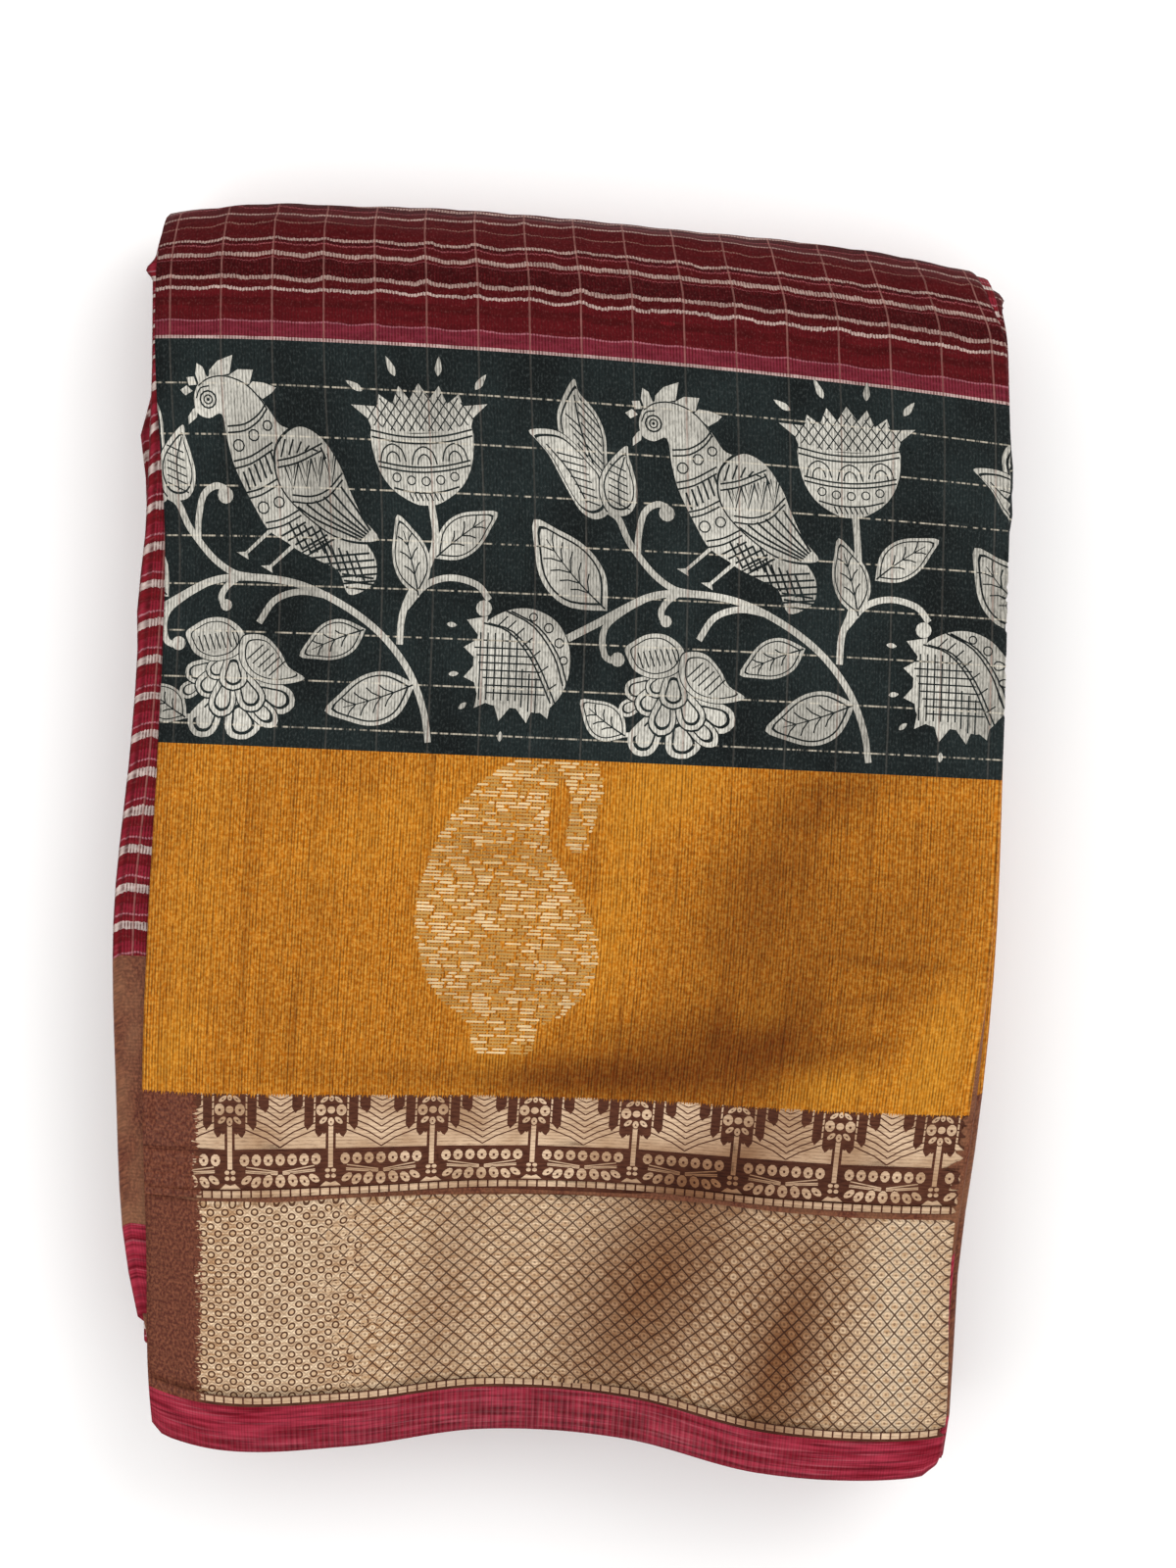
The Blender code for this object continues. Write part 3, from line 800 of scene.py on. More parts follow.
def fruit():
    """A round fruit flower: a checked side with ragged sepals, a barred band and a band of rings."""
    body = rounded([
        (-3.0, 11.6), (3.0, 12.0), (8.6, 9.2), (11.6, 3.6), (11.8, -2.6), (9.6, -8.4), (5.4, -12.0),
        (0.4, -11.4), (-8.6, -10.0), (-11.0, -4.0), (-10.8, 3.0), (-8.8, 8.2),
    ])
    sepals = (
        [(-8.0, 10.0), (-13.0, 9.0), (-9.0, 4.0)], [(-9.6, 5.0), (-13.6, 2.6), (-10.0, -0.6)],
        [(-10.0, -0.4), (-13.4, -4.4), (-9.0, -6.4)], [(-9.6, -5.6), (-10.6, -11.6), (-5.4, -9.0)],
        [(-6.4, -9.0), (-4.6, -14.4), (-1.0, -9.8)], [(-1.6, -10.0), (2.0, -14.6), (3.6, -10.6)],
        [(3.0, -10.4), (7.0, -13.4), (8.0, -8.0)],
    )
    shapes = [(LIGHT, part) for part in (*sepals, body)]
    shapes += hatch((-11.6, 4.4), (2.4, 4.4), (0.55, -1.75), 8, 0.36)
    shapes += hatch((-9.6, 6.2), (-9.6, -9.6), (1.75, 0.0), 6, 0.36)
    shapes += hatch((0.6, -2.0), (0.6, -11.0), (1.7, -1.0), 3, 0.36)
    shapes += twice([(-9.0, 8.4), (-3.0, 6.6), (2.6, 0.4), (7.6, -9.8)], 1.1, 0.0)
    for i in range(7):
        x, y = -5.4 + 2.0 * i, 8.0 - 0.55 * i - 0.32 * i * i
        shapes.append(line((x, y), (x + 2.2, y + 2.2 - 0.1 * i), width=0.34))
    shapes += twice([(-3.6, 11.4), (3.0, 8.0), (8.0, 1.4), (10.4, -5.6)], 1.1, 0.0)
    for x, y, radius in ((2.9, 10.2, 1.1), (6.6, 7.8, 1.25), (9.2, 4.4, 1.25), (10.4, 0.4, 1.1)):
        shapes += ring(x, y, radius, 0.34, 10)
    for row in ((-15.4, 7.6, 84), (-14.6, -3.6, 98), (-12.4, -10.4, 130), (-4.0, -16.8, 176)):
        shapes += drop(*row)
    return shapes


def curl(points, end, radius=1.9):
    return vine(points, 1.5) + [oval(end[0], end[1], radius, radius, sides=12)]


def print_repeat(sway, rise):
    """One repeat of the printed band, from its left end and its foot, with its lotus swayed and raised."""
    stem = [
        (-10.0, 28.4), (-3.0, 32.2), (2.5, 35.4), (8.6, 38.6), (14.3, 39.9), (22.0, 40.0), (29.7, 39.0),
        (37.0, 36.4), (45.0, 32.0), (52.0, 26.4), (58.0, 18.6), (61.6, 10.0), (63.0, 2.6),
    ]
    shapes = vine(stem, 1.8, 1.5)
    shapes += vine([(-0.6, 58.4), (1.9, 56.6), (4.0, 52.0), (6.7, 48.2), (10.5, 44.0), (15.1, 41.0),
                    (19.4, 40.2)], 1.5)
    shapes += curl([(6.4, 48.4), (6.6, 53.0), (8.0, 58.4), (11.0, 60.6), (13.6, 60.0)], (13.4, 58.6))
    shapes += curl([(16.2, 40.0), (13.6, 38.0), (12.2, 35.6), (12.6, 33.8)], (13.4, 33.4), 1.4)
    shapes += curl([(8.0, 38.2), (3.6, 35.6), (-0.6, 32.1), (-1.7, 28.5), (-1.0, 24.8), (0.8, 23.6)],
                   (2.1, 24.0), 1.7)
    shapes += vine([(38.0, 36.2), (31.0, 37.0), (25.0, 34.8), (21.4, 29.4)], 1.5)
    shapes += vine([(62.6 + sway, 58.0 + rise), (63.4 + sway, 50.4), (61.4 + sway * 0.6, 43.4), (57.6, 37.6),
                    (55.6, 32.0), (55.2, 25.4)], 1.6)
    shapes += curl([(56.4, 34.0), (61.0, 39.4), (67.0, 41.4), (73.4, 40.0), (76.4, 36.6)], (75.2, 34.6))
    for row in (
        ((46.6, 28.6), (31.4, 21.8), 4.6, -0.1, 4), ((58.8, 16.0), (38.0, 9.0), 6.2, 0.1, 5),
        ((59.4, 37.0), (54.4, 55.4), 4.4, -0.1, 4), ((63.6, 46.0), (78.4, 56.8), 4.6, 0.12, 4),
        ((104.2, 35.6), (87.0, 55.6), 7.0, 0.16, 6),
    ):
        shapes += leaf(*row)
    shapes += bird()
    shapes += placed(lotus(), 61.8 + sway, 57.9 + rise, 3)
    shapes += placed(tulip(), 103.2, 56.6)
    shapes += blossom()
    shapes += placed(fruit(), 84.2, 22.8)
    shapes += vine([(4.0, 6.4), (6.8, 6.8), (9.2, 8.6)], 1.1)
    return shapes + leaf((4.6, 6.2), (-6.4, 14.2), 4.4, 0.1, 4)


PRINT_REPEAT = 105.4
PRINT_START = 1.8
PRINT_SQUEEZE = 0.985
# Repeats of the print: the number of each, and how far its lotus sways and rises
REPEATS = ((-1, 0.0, 0.0), (0, 0.0, 0.0), (1, -4.2, 2.8))


def printed_shapes():
    shapes = []
    for repeat, sway, rise in REPEATS:
        for ink, outline in print_repeat(sway, rise):
            points = [(p[0] + PRINT_START + repeat * PRINT_REPEAT, p[1]) for p in outline]
            if max(x for x, _ in points) > 0.2 and min(x for x, _ in points) < LEAF_WIDTH / MM + 2:
                shapes.append((ink, [(x * MM, MUSTARD_TOP + y * PRINT_SQUEEZE * MM) for x, y in points]))
    return shapes


TEMPLE_PITCH = 24.9
TEMPLE_FOOT = 60.6
TEMPLE_GOLD = TEMPLE_FOOT + 9.0
FIRST_FLOWER = 21.8
# Rows of boxes: the foot of each, and where its brown ground starts
BOX_ROWS = ((59.0, 58.7), (11.7, 11.0))
BOX_PITCH = 2.45
BOX_HEIGHT = 1.35
BOX_GAP = 0.44


def rectangle(ink, left, right, low, high):
    return (ink, [(left, low), (right, low), (right, high), (left, high)])


def float_round(x, y, half_x, half_y, turn=0.0):
    """A woven round: gold in a brown rim, with a brown eye."""
    return [
        oval(x, y, half_x + 0.25, half_y + 0.25, "zari_ground", turn, 10),
        oval(x, y, half_x, half_y, "zari_gold", turn, 10),
        oval(x, y - 0.1 * half_y, half_x * 0.3, half_y * 0.26, "zari_ground", turn, 6),
    ]


def temple_repeat():
    """One flower of the temple border and the spires on its right, from its axis and the border's foot."""
    gold, brown = "zari_gold", "zari_ground"
    middle = TEMPLE_PITCH / 2
    shapes = []
    for i in range(9):
        low = 9.4 + 1.55 * i
        for hand in (-1, 1):
            chevron = [(middle, low), (middle + hand * 3.2, low + 1.9), (middle + hand * 8.6, low + 4.0)]
            shapes.append(ribbon(chevron, 0.32, ink=brown))
    shapes.append(rectangle(brown, 0.0, TEMPLE_PITCH, 8.5, 8.95))
    for hand, foot in ((1, 0.0), (-1, TEMPLE_PITCH)):
        for near, far, low in ((0.0, 3.9, 11.6), (4.3, 6.6, 13.2), (7.0, 9.6, 17.2)):
            steps = [(near, 21.5), (far, 21.5), (far, low + 1.2), (far - 0.8, low), (near, low + 1.6)]
            shapes.append((brown, [(foot + hand * x, y) for x, y in steps]))
        base = ((0.8, 11.0), (2.0, 12.6), (3.2, 11.0), (3.2, 10.4), (0.8, 10.4))
        shapes.append((gold, [(foot + hand * x, y) for x, y in base]))
    for x in [TEMPLE_PITCH / 2 + 2.95 * i for i in range(-3, 4)]:
        shapes += float_round(x, 6.6, 1.2, 1.35)
    for hand in (-1, 1):
        for i in range(3):
            end_x, end_y = (8.6, 4.7 - 0.4 * i) if i else (8.4, 5.1)
            stem = [(middle + hand * 0.6, 3.9 - 0.3 * i), (middle + hand * end_x, end_y)]
            shapes.append(ribbon(stem, 0.26, ink=gold))
        for x, y, half_x, turn in ((3.1, 1.9, 1.15, 30), (6.0, 1.7, 1.0, 44), (8.4, 2.2, 0.8, 58)):
            shapes += float_round(middle + hand * x, y, half_x, 1.5, hand * turn)
    shapes += float_round(middle, 1.8, 1.25, 1.5)
    return shapes


def temple_flower():
    """The flower over each spire's gap: its stem, its petals, the small flower and foot under it."""
    gold, brown = "zari_gold", "zari_ground"
    shapes = [rectangle(brown, -1.25, 1.25, 2.0, 14.4), rectangle(gold, -0.58, 0.58, 4.6, 14.2)]
    for x, y, half_x, half_y, turn in (
        (-2.5, 17.9, 1.25, 1.35, 0), (2.5, 17.9, 1.25, 1.35, 0), (-1.7, 20.3, 1.2, 0.5, 34),
        (1.7, 20.3, 1.2, 0.5, -34), (-1.9, 15.5, 1.15, 0.6, 38), (1.9, 15.5, 1.15, 0.6, -38),
        (0.0, 15.2, 0.75, 0.95, 0), (0.0, 20.6, 0.6, 0.7, 0),
    ):
        shapes += float_round(x, y, half_x, half_y, turn)
    shapes.append(oval(0.0, 17.9, 0.95, 0.85, gold))
    shapes.append(rectangle(brown, -2.3, 2.3, 1.8, 4.5))
    for x, y in ((-0.75, 3.9), (0.75, 3.9), (-0.75, 2.6), (0.75, 2.6)):
        shapes.append(oval(x, y, 0.62, 0.5, gold, sides=8))
    shapes.append((gold, [(-2.6, 0.3), (2.6, 0.3), (1.2, 1.4), (0.0, 1.0), (-1.2, 1.4)]))
    return shapes


def temple_shapes():
    """The temple border's gold and brown, its flowers, and the two rows of boxes under it."""
    end, top = LEAF_WIDTH / MM + 3.0, ZARI_TOP / MM
    shapes = [rectangle("zari_ground", -1.0, end, TEMPLE_FOOT, top)]
    shapes.append(rectangle("zari_gold", -1.0, end, TEMPLE_GOLD, top))
    axes = [FIRST_FLOWER + TEMPLE_PITCH * i for i in range(-2, 9)]
    for motif in (temple_repeat(), temple_flower()):
        for axis in axes:
            for ink, outline in motif:
                points = [(x + axis, min(y + TEMPLE_FOOT, top)) for x, y in outline]
                across = [x for x, _ in points]
                if max(across) > 0.1 and min(across) < end and min(y for _, y in points) < top - 0.1:
                    shapes.append((ink, points))
    for foot, ground_low in BOX_ROWS:
        shapes.append(rectangle("zari_ground", -1.0, end, ground_low, foot + BOX_HEIGHT + 0.35))
        for i in range(round(end / BOX_PITCH)):
            left = i * BOX_PITCH + BOX_GAP / 2
            shapes.append(rectangle("zari_gold", left, left + BOX_PITCH - BOX_GAP, foot, foot + BOX_HEIGHT))
    # The mustard's threads run down into the border in a short uneven fringe
    dice = random.Random(3)
    left = -0.4
    while left < end:
        wide, long = dice.uniform(0.35, 0.9), dice.uniform(0.1, 1.1)
        tuft = [(left, top + 0.2), (left + wide * 0.4, top - long), (left + wide, top + 0.2)]
        shapes.append(("mustard", tuft))
        left += wide
    return [(ink, [(x * MM, y * MM) for x, y in outline]) for ink, outline in shapes]


PAISLEY = (
    (78.6, 99.4), (81.6, 92.4), (93.6, 92.4), (95.4, 98.8), (101.0, 102.0), (106.0, 107.6), (108.4, 115.0),
    (107.2, 123.6), (103.0, 130.6), (98.6, 136.4), (95.4, 141.6), (94.4, 148.0), (95.2, 154.4), (97.6, 157.6),
    (99.6, 153.6), (99.4, 147.4), (99.0, 143.2), (101.2, 140.4), (104.0, 142.0), (105.4, 148.0),
    (107.2, 154.0), (106.6, 160.0), (102.0, 163.4), (94.0, 163.6), (86.0, 161.8), (79.0, 157.2),
    (72.6, 150.0), (67.6, 141.0), (64.8, 132.0), (64.0, 123.0), (66.2, 113.4), (71.4, 105.4),
)
FLOAT_START = 92.6
FLOAT_PITCH = 0.82
FLOAT_THICKNESS = 0.5
BRIGHT_SHARE = 0.45


def paisley_floats():
    """The paisley's zari floats: broken rows of thread across its outline."""
    rim = rounded(PAISLEY)
    shapes = []
    dice = random.Random(7)
    v = FLOAT_START
    while v < MUSTARD_TOP / MM - 0.4:
        crossings = sorted(
            a.x + (b.x - a.x) * (v - a.y) / (b.y - a.y)
            for a, b in zip(rim, rim[1:] + rim[:1])
            if (a.y - v) * (b.y - v) < 0
        )
        for start, end in zip(crossings[::2], crossings[1::2]):
            u = start + dice.uniform(-0.5, 0.5)
            while u < end - 0.6:
                length = min(dice.uniform(1.4, 5.2), end - u + dice.uniform(-0.2, 0.5))
                slope = dice.uniform(-0.06, 0.06)
                half = FLOAT_THICKNESS / 2 * dice.uniform(0.8, 1.2)
                ink = "paisley_bright" if dice.random() < BRIGHT_SHARE else "paisley_gold"
                outline = [(u, v - half * 0.4), (u + 0.3, v - half), (u + length - 0.3, v - half + slope),
                           (u + length, v + slope), (u + length - 0.3, v + half + slope), (u + 0.3, v + half)]
                if length > 0.8:
                    shapes.append((ink, [(x * MM, y * MM) for x, y in outline]))
                u += length + dice.choice((0.25, 0.3, 0.4, 0.5, 0.9))
        v += FLOAT_PITCH
    return shapes


class Amount:
    """A number in a shader. Arithmetic on it adds the nodes that work it out."""

    def __init__(self, tree, socket):
        self.tree, self.socket = tree, socket

    def do(self, operation, *others):
        links = dict(enumerate((self, *others)))
        return Amount(self.tree, add(self.tree, "Math", links, operation=operation))

    def __add__(self, other):
        return self.do("ADD", other)

    def __sub__(self, other):
        return self.do("SUBTRACT", other)

    def __mul__(self, other):
        return self.do("MULTIPLY", other)

    def __truediv__(self, other):
        return self.do("DIVIDE", other)

    def near(self, place, half_width):
        """One within half_width of the place, else nothing."""
        return self.do("COMPARE", place, half_width)

    def wave(self, pitch):
        """From nothing to one and back over each pitch."""
        return (self * (2 * math.pi / pitch)).do("SINE") * 0.5 + 0.5

    def rise(self, low, high):
        """From nothing at low to one at high, and flat past them."""
        return ((self - low) / (high - low)).do("MAXIMUM", 0.0).do("MINIMUM", 1.0)


def linear(code):
    """An sRGB hex colour as linear red, green, blue and alpha."""
    values = [int(code[i : i + 2], 16) / 255 for i in (1, 3, 5)]
    return tuple(c / 12.92 if c <= 0.04045 else ((c + 0.055) / 1.055) ** 2.4 for c in values) + (1.0,)


def add(tree, kind, links=None, output=0, **settings):
    """Adds a node with its settings, links its inputs or gives them values, and returns one output."""
    node = tree.nodes.new("ShaderNode" + kind)
    for name, value in settings.items():
        setattr(node, name, value)
    for socket, source in (links or {}).items():
        source = source.socket if isinstance(source, Amount) else source
        if isinstance(source, bpy.types.NodeSocket):
            tree.links.new(source, node.inputs[socket])
        else:
            node.inputs[socket].default_value = source
    return node.outputs[output]


def banded(tree, place, span, stripes):
    """Flat colours from each stripe's start to the next over a span."""
    colour = add(tree, "ValToRGB", {0: place / span})
    ramp = colour.node.color_ramp
    ramp.interpolation = "CONSTANT"
    for i, (start, code) in enumerate(stripes):
        stop = ramp.elements[i] if i < 1 else ramp.elements.new(start / span)
        stop.position = start / span
        stop.color = linear(code)
    last = ramp.elements[len(ramp.elements) - 1]
    last.color = linear(stripes[-1][1])
    return colour


Cloth = namedtuple("Cloth", "tree place u v")


def dyed(cloth, share, low, high, blend="MIX"):
    """The cloth's colour from low to high by a share. Both are hex colours or sockets."""
    low, high = (linear(c) if isinstance(c, str) else c for c in (low, high))
    links = {0: share, 6: low, 7: high}
    return add(cloth.tree, "Mix", links, output=2, data_type="RGBA", blend_type=blend, clamp_factor=True)


def patchy(cloth, size_u, size_v, detail=2.0, low=0.35, high=0.65):
    """Noise in patches of about these sizes in millimetres, spread over nothing to one."""
    sizes = {0: cloth.place, 1: (1 / size_u, 1 / size_v, 1)}
    scaled = add(cloth.tree, "VectorMath", sizes, operation="MULTIPLY")
    noise = add(cloth.tree, "TexNoise", {"Vector": scaled, "Scale": 1.0, "Detail": detail, "Roughness": 0.6})
    return Amount(cloth.tree, add(cloth.tree, "MapRange", {0: noise, 1: low, 2: high, 3: 0.0, 4: 1.0}))


PatchRow = namedtuple("PatchRow", "u v angle half_run half_width strength")
# A patch fades out at this many of its half sizes
PATCH_REACH = 1.6


def patched(cloth, rows):
    """Soft oval patches on the cloth, added up. The rows are as in PatchRow."""
    total = cloth.u * 0.0
    for row in map(PatchRow._make, rows):
        links = {
            "Vector": cloth.place,
            "Location": (row.u, row.v, 0.0),
            "Rotation": (0.0, 0.0, math.radians(row.angle)),
            "Scale": (row.half_run * PATCH_REACH, row.half_width * PATCH_REACH, 1.0),
        }
        inside = add(cloth.tree, "Mapping", links, vector_type="TEXTURE")
        near = add(cloth.tree, "TexGradient", {0: inside}, output="Fac", gradient_type="SPHERICAL")
        links = {0: near, 1: 0.0, 2: 1.0, 3: 0.0, 4: row.strength}
        faded = add(cloth.tree, "MapRange", links, interpolation_type="SMOOTHSTEP")
        total = total + Amount(cloth.tree, faded)
    return total


def silk(name, paint, roughness, sheen=0.0, relief_height=0.02, gloss=0.12):
    """A silk in ribs, with the colour and rise that its paint function gives. Relief is in millimetres."""
    material = bpy.data.materials.new(name)
    material.use_nodes = True
    tree = material.node_tree
    shader = tree.nodes["Principled BSDF"]
    read = add(tree, "Attribute", output="Vector", attribute_name="weave")
    place = add(tree, "VectorMath", {0: read, 1: (1000, 1000, 1000)}, operation="MULTIPLY")
    u, v = (Amount(tree, add(tree, "SeparateXYZ", {0: place}, output=axis)) for axis in "XY")
    cloth = Cloth(tree, place, u, v)
    colour, rise = paint(cloth)
    threads = u.wave(RIB_PITCH) * 0.5 + patchy(cloth, 0.3, 1.6) * 0.5 + rise
    bump = add(tree, "Bump", {"Height": threads, "Strength": 0.6, "Distance": relief_height * MM})
    tree.links.new(colour, shader.inputs["Base Color"])
    tree.links.new(bump, shader.inputs["Normal"])
    constants = {
        "Roughness": roughness, "Sheen Weight": sheen, "Sheen Roughness": 0.4, "Specular IOR Level": gloss,
    }
    for name, value in constants.items():
        shader.inputs[name].default_value = value
    return material


# Pitches and places of the weave. The ribs stand for bundles of threads, because single threads are too
# fine to show
RIB_PITCH = 0.74
STRIPE_PITCH = 8.9
WEFT_LINE_PITCH = 11.0
WEFT_LINE_SHIFT = 3.4
WEFT_THREAD = 0.017
CHECK_SHIFT = 2.4
CHECK_THREAD = 0.018
FLOAT_LINE_PITCH = 0.8
LATTICE_ACROSS = 3.7
LATTICE_UP = 3.12
# Reach of each diamond's eye, float and ring, squared, and of its lines, as shares of the lattice
LATTICE_EYE, LATTICE_FLOAT, LATTICE_RING, LATTICE_LINE = 0.014, 0.045, 0.15, 0.425
# Painted shade: the zari shows brown for this far in from its cut end, where the leaf rounds down away from
# the light and loses its glint, and again from the front leaf's turn on
PAINTED_SHADE_END = 14.2
TURNED = 203.0

# Stripes of the ground past the print, each from its start to the next, and the first ones' span
MAROON, CRIMSON, DEEP, CREAM, PINK = "#460B0D", "#560F14", "#320607", "#AE948A", "#8E4A4E"
FIRST_STRIPES = (
    (0.0, "#C4A8A2"), (0.7, "#782836"), (3.9, "#A0606A"), (4.15, CRIMSON), (7.4, MAROON), (9.2, CRIMSON),
    (11.1, "#C4ACA2"), (11.8, MAROON), (13.6, CREAM), (14.5, DEEP), (18.2, PINK), (18.5, MAROON),
    (19.2, CREAM), (20.2, MAROON), (22.2, PINK), (22.5, DEEP), (23.4, CREAM), (24.2, MAROON),
    (28.5, "#805A50"), (28.9, MAROON), (32.0, "#A4887E"), (32.9, MAROON), (35.4, PINK), (35.8, DEEP),
    (38.4, "#B4988E"), (39.6, MAROON),
)
FIRST_SPAN = 46.0
NEXT_STRIPES = ((0.0, "#CDBAB2"), (1.9, "#7A1A24"), (3.4, "#B07078"), (3.8, "#8A2030"), (6.2, "#70141C"))


def ribbed(cloth, colour, depth):
    """Darkens the gaps between the ribs: painted shade in the grooves."""
    share = cloth.u.wave(RIB_PITCH) * patchy(cloth, 0.8, 4.0, low=0.2, high=0.6) * depth
    return dyed(cloth, share, colour, "#000000")


def checks(cloth, colour, code, strength):
    """Single threads down the cloth at the check's pitch."""
    line = ((cloth.u + CHECK_SHIFT) / (CHECK_PITCH / MM)).do("FRACT").near(0.5, CHECK_THREAD)
    return dyed(cloth, line * (patchy(cloth, 0.5, 3.0) * 0.5 + 0.5) * strength, colour, code)


def striped_ground(cloth):
    """Warp stripes that bow between the check threads. Gaps between the ribs break the pale ones."""
    turn = (cloth.u + CHECK_SHIFT) * (math.pi / (CHECK_PITCH / MM)) + math.pi / 2
    drawn_in = turn.do("SINE").do("ABSOLUTE")
    bowed = drawn_in * patchy(cloth, 30, 14, low=0.3, high=0.7) * 1.1 + patchy(cloth, 5, 9) * 0.5
    bowed = bowed + patchy(cloth, 0.35, 3.0) * 0.3
    v = cloth.v.do("ABSOLUTE")
    v = v + (bowed - 0.9) * ((v - PRINT_TOP / MM) / 9.0).do("ABSOLUTE").do("MINIMUM", 1.0)
    first = banded(cloth.tree, v - PRINT_TOP / MM, FIRST_SPAN, FIRST_STRIPES)
    after = banded(cloth.tree, (v / STRIPE_PITCH).do("FRACT") * STRIPE_PITCH, STRIPE_PITCH, NEXT_STRIPES)
    colour = dyed(cloth, cloth.v.near((PRINT_TOP + FRONT_LENGTH) / 2 / MM, 40.0), after, first)
    gaps = cloth.u.wave(RIB_PITCH) * patchy(cloth, 2.0, 1.0, low=0.3, high=0.6) * 0.85
    colour = dyed(cloth, gaps, colour, "#5A1418")
    colour = dyed(cloth, patchy(cloth, 11, 1.3) * 0.34, colour, "#2A0406")
    colour = dyed(cloth, patchy(cloth, 0.5, 0.7, low=0.55, high=0.75) * 0.3, colour, "#8A5450")
    return ribbed(cloth, checks(cloth, colour, "#9A6C64", 0.6), 0.35), 0.0


def weft_lines(cloth, colour, code, strength):
    """Broken single threads across the black band."""
    line = ((cloth.v + WEFT_LINE_SHIFT) / WEFT_LINE_PITCH).do("FRACT").near(0.5, WEFT_THREAD)
    dashes = patchy(cloth, 1.2, 40.0, low=0.42, high=0.56)
    return dyed(cloth, line * dashes * strength, colour, code)


def black_ground(cloth):
    """Near-black green silk, speckled by its pale cross threads, with the check's fine lines."""
    colour = dyed(cloth, patchy(cloth, 22, 30), "#0C1212", "#1B2424")
    colour = dyed(cloth, patchy(cloth, 0.5, 0.8, low=0.5, high=0.7) * 0.4, colour, "#4A504E")
    colour = dyed(cloth, patchy(cloth, 0.6, 1.6, low=0.5, high=0.7) * 0.5, colour, "#040606")
    colour = weft_lines(cloth, checks(cloth, colour, "#54504A", 0.5), "#CFC4B0", 0.7)
    return ribbed(cloth, colour, 0.4), 0.0


def undyed_print(cloth):
    """Silk the dye was kept from: off white, its threads thinned by wear so that the dark ground shows."""
    colour = dyed(cloth, patchy(cloth, 24, 30), "#A8A49A", "#DCD8CC")
    colour = dyed(cloth, patchy(cloth, 0.5, 1.3, low=0.46, high=0.74) * 0.6, colour, "#4E4E48")
    colour = weft_lines(cloth, checks(cloth, colour, "#7E5648", 0.6), "#E2D8C4", 0.5)
    return ribbed(cloth, colour, 0.62), 0.0


# Where shade and light are painted on the mustard, in the columns of PatchRow
SHADED = (
    (128, 90, 4, 40, 13, 0.62), (154, 112, 70, 40, 26, 0.5), (146, 138, 58, 34, 14, 0.36),
    (166, 158, 20, 20, 8, 0.3), (104, 87, 0, 28, 6, 0.4), (57, 87, 0, 34, 4, 0.25),
    (188, 124, 86, 30, 14, 0.28), (40, 118, 80, 26, 8, 0.16), (181, 117, -4, 16, 1.6, 0.22),
    (178, 98, 6, 14, 1.8, 0.2), (157, 107, 70, 12, 6, 0.18), (138.5, 104, 86, 14, 1.6, 0.16),
    (176, 109, 8, 16, 1.6, 0.2), (24, 122, 88, 36, 1.4, 0.25), (12, 116, 89, 34, 1.2, 0.22),
    (36, 96, 87, 16, 1.4, 0.2),
)
LIT = (
    (122, 158, 40, 17, 10, 0.7), (192, 92, 80, 22, 8, 0.8), (112, 128, 84, 26, 6, 0.4),
    (168, 87, 8, 14, 6, 0.7), (12, 128, 88, 40, 7, 0.25), (58, 146, 30, 26, 10, 0.25),
    (150, 104, 10, 8, 4, 0.25), (86, 92, 30, 10, 6, 0.35), (6, 90, 60, 12, 6, 0.5),
)


def mustard_silk(cloth):
    """Mustard silk in fine ribs, with darker slubs down it, and painted shade, brown in its creases and broad
    patches, with painted highlights beside them.
    """
    colour = dyed(cloth, patchy(cloth, 0.8, 0.9, low=0.42, high=0.62) * 0.55, "#BE6E0E", "#EEAE4A")
    colour = dyed(cloth, patchy(cloth, 0.45, 60, low=0.5, high=0.74) * 0.6, colour, "#70380A")
    colour = dyed(cloth, patchy(cloth, 0.7, 1.4, low=0.52, high=0.72) * 0.5, colour, "#7E420C")
    # Painted highlights where the mustard faces the light
    colour = dyed(cloth, patched(cloth, LIT) * 0.45, colour, "#D6962A")
    # Painted shade in the creases and broad patches, over an uneven tone, held back where highlights are
    # painted
    tone_and_painted_shade = patchy(cloth, 30, 18, 1.0, 0.3, 0.7) * 0.16 + patched(cloth, SHADED) - patched(cloth, LIT) * 0.5
    colour = dyed(cloth, tone_and_painted_shade.do("MINIMUM", 1.1) * 0.78, colour, "#4C1404")
    return ribbed(cloth, checks(cloth, colour, "#8A5412", 0.2), 0.7), 0.0


# Painted glints on the zari, and patches of painted shade where its shine is dulled
GLINTS = (
    (36, 40, 80, 60, 14, 0.6), (190, 34, 86, 52, 11, 1.3), (110, 52, 10, 40, 12, 0.4),
    (96, 22, 10, 40, 9, 0.25),
)
ZARI_PAINTED_SHADE = (
    (128, 38, 60, 44, 18, 0.95), (160, 26, 70, 36, 12, 1.0), (74, 30, 80, 36, 8, 0.35),
    (150, 66, 10, 34, 8, 0.4),
)


def dulled(cloth, colour):
    """Zari is bright where it faces out. Painted shade turns it brown at its cut end and past the front
    leaf's turn, where it faces away from the light and loses its glint, and dims it in patches; on the folds'
    wrong side the brown is both the back of the brocade and painted shade.
    """
    # Painted shade: brown from the cut end in, where the leaf rounds down away from the light
    end = (cloth.u + patchy(cloth, 3.0, 0.5) * 2.4 - patchy(cloth, 4, 12) * 1.2).do("LESS_THAN", PAINTED_SHADE_END)
    # Painted shade past the front leaf's turn and through the folds, and on the wrong side, where the brown
    # is also the brocade's back
    inner = cloth.u.do("GREATER_THAN", TURNED).do("MAXIMUM", cloth.v.do("LESS_THAN", 0.0))
    brown = dyed(cloth, patchy(cloth, 0.6, 0.9, low=0.4, high=0.64), "#50241A", "#7C4832")
    brown = dyed(cloth, inner * patchy(cloth, 9, 16) * 0.4, brown, "#9A7050")
    # Painted shade: patches where the zari's shine is painted dull
    colour = dyed(cloth, patched(cloth, ZARI_PAINTED_SHADE), colour, "#A0826A", "MULTIPLY")
    return dyed(cloth, end.do("MAXIMUM", inner), colour, brown)


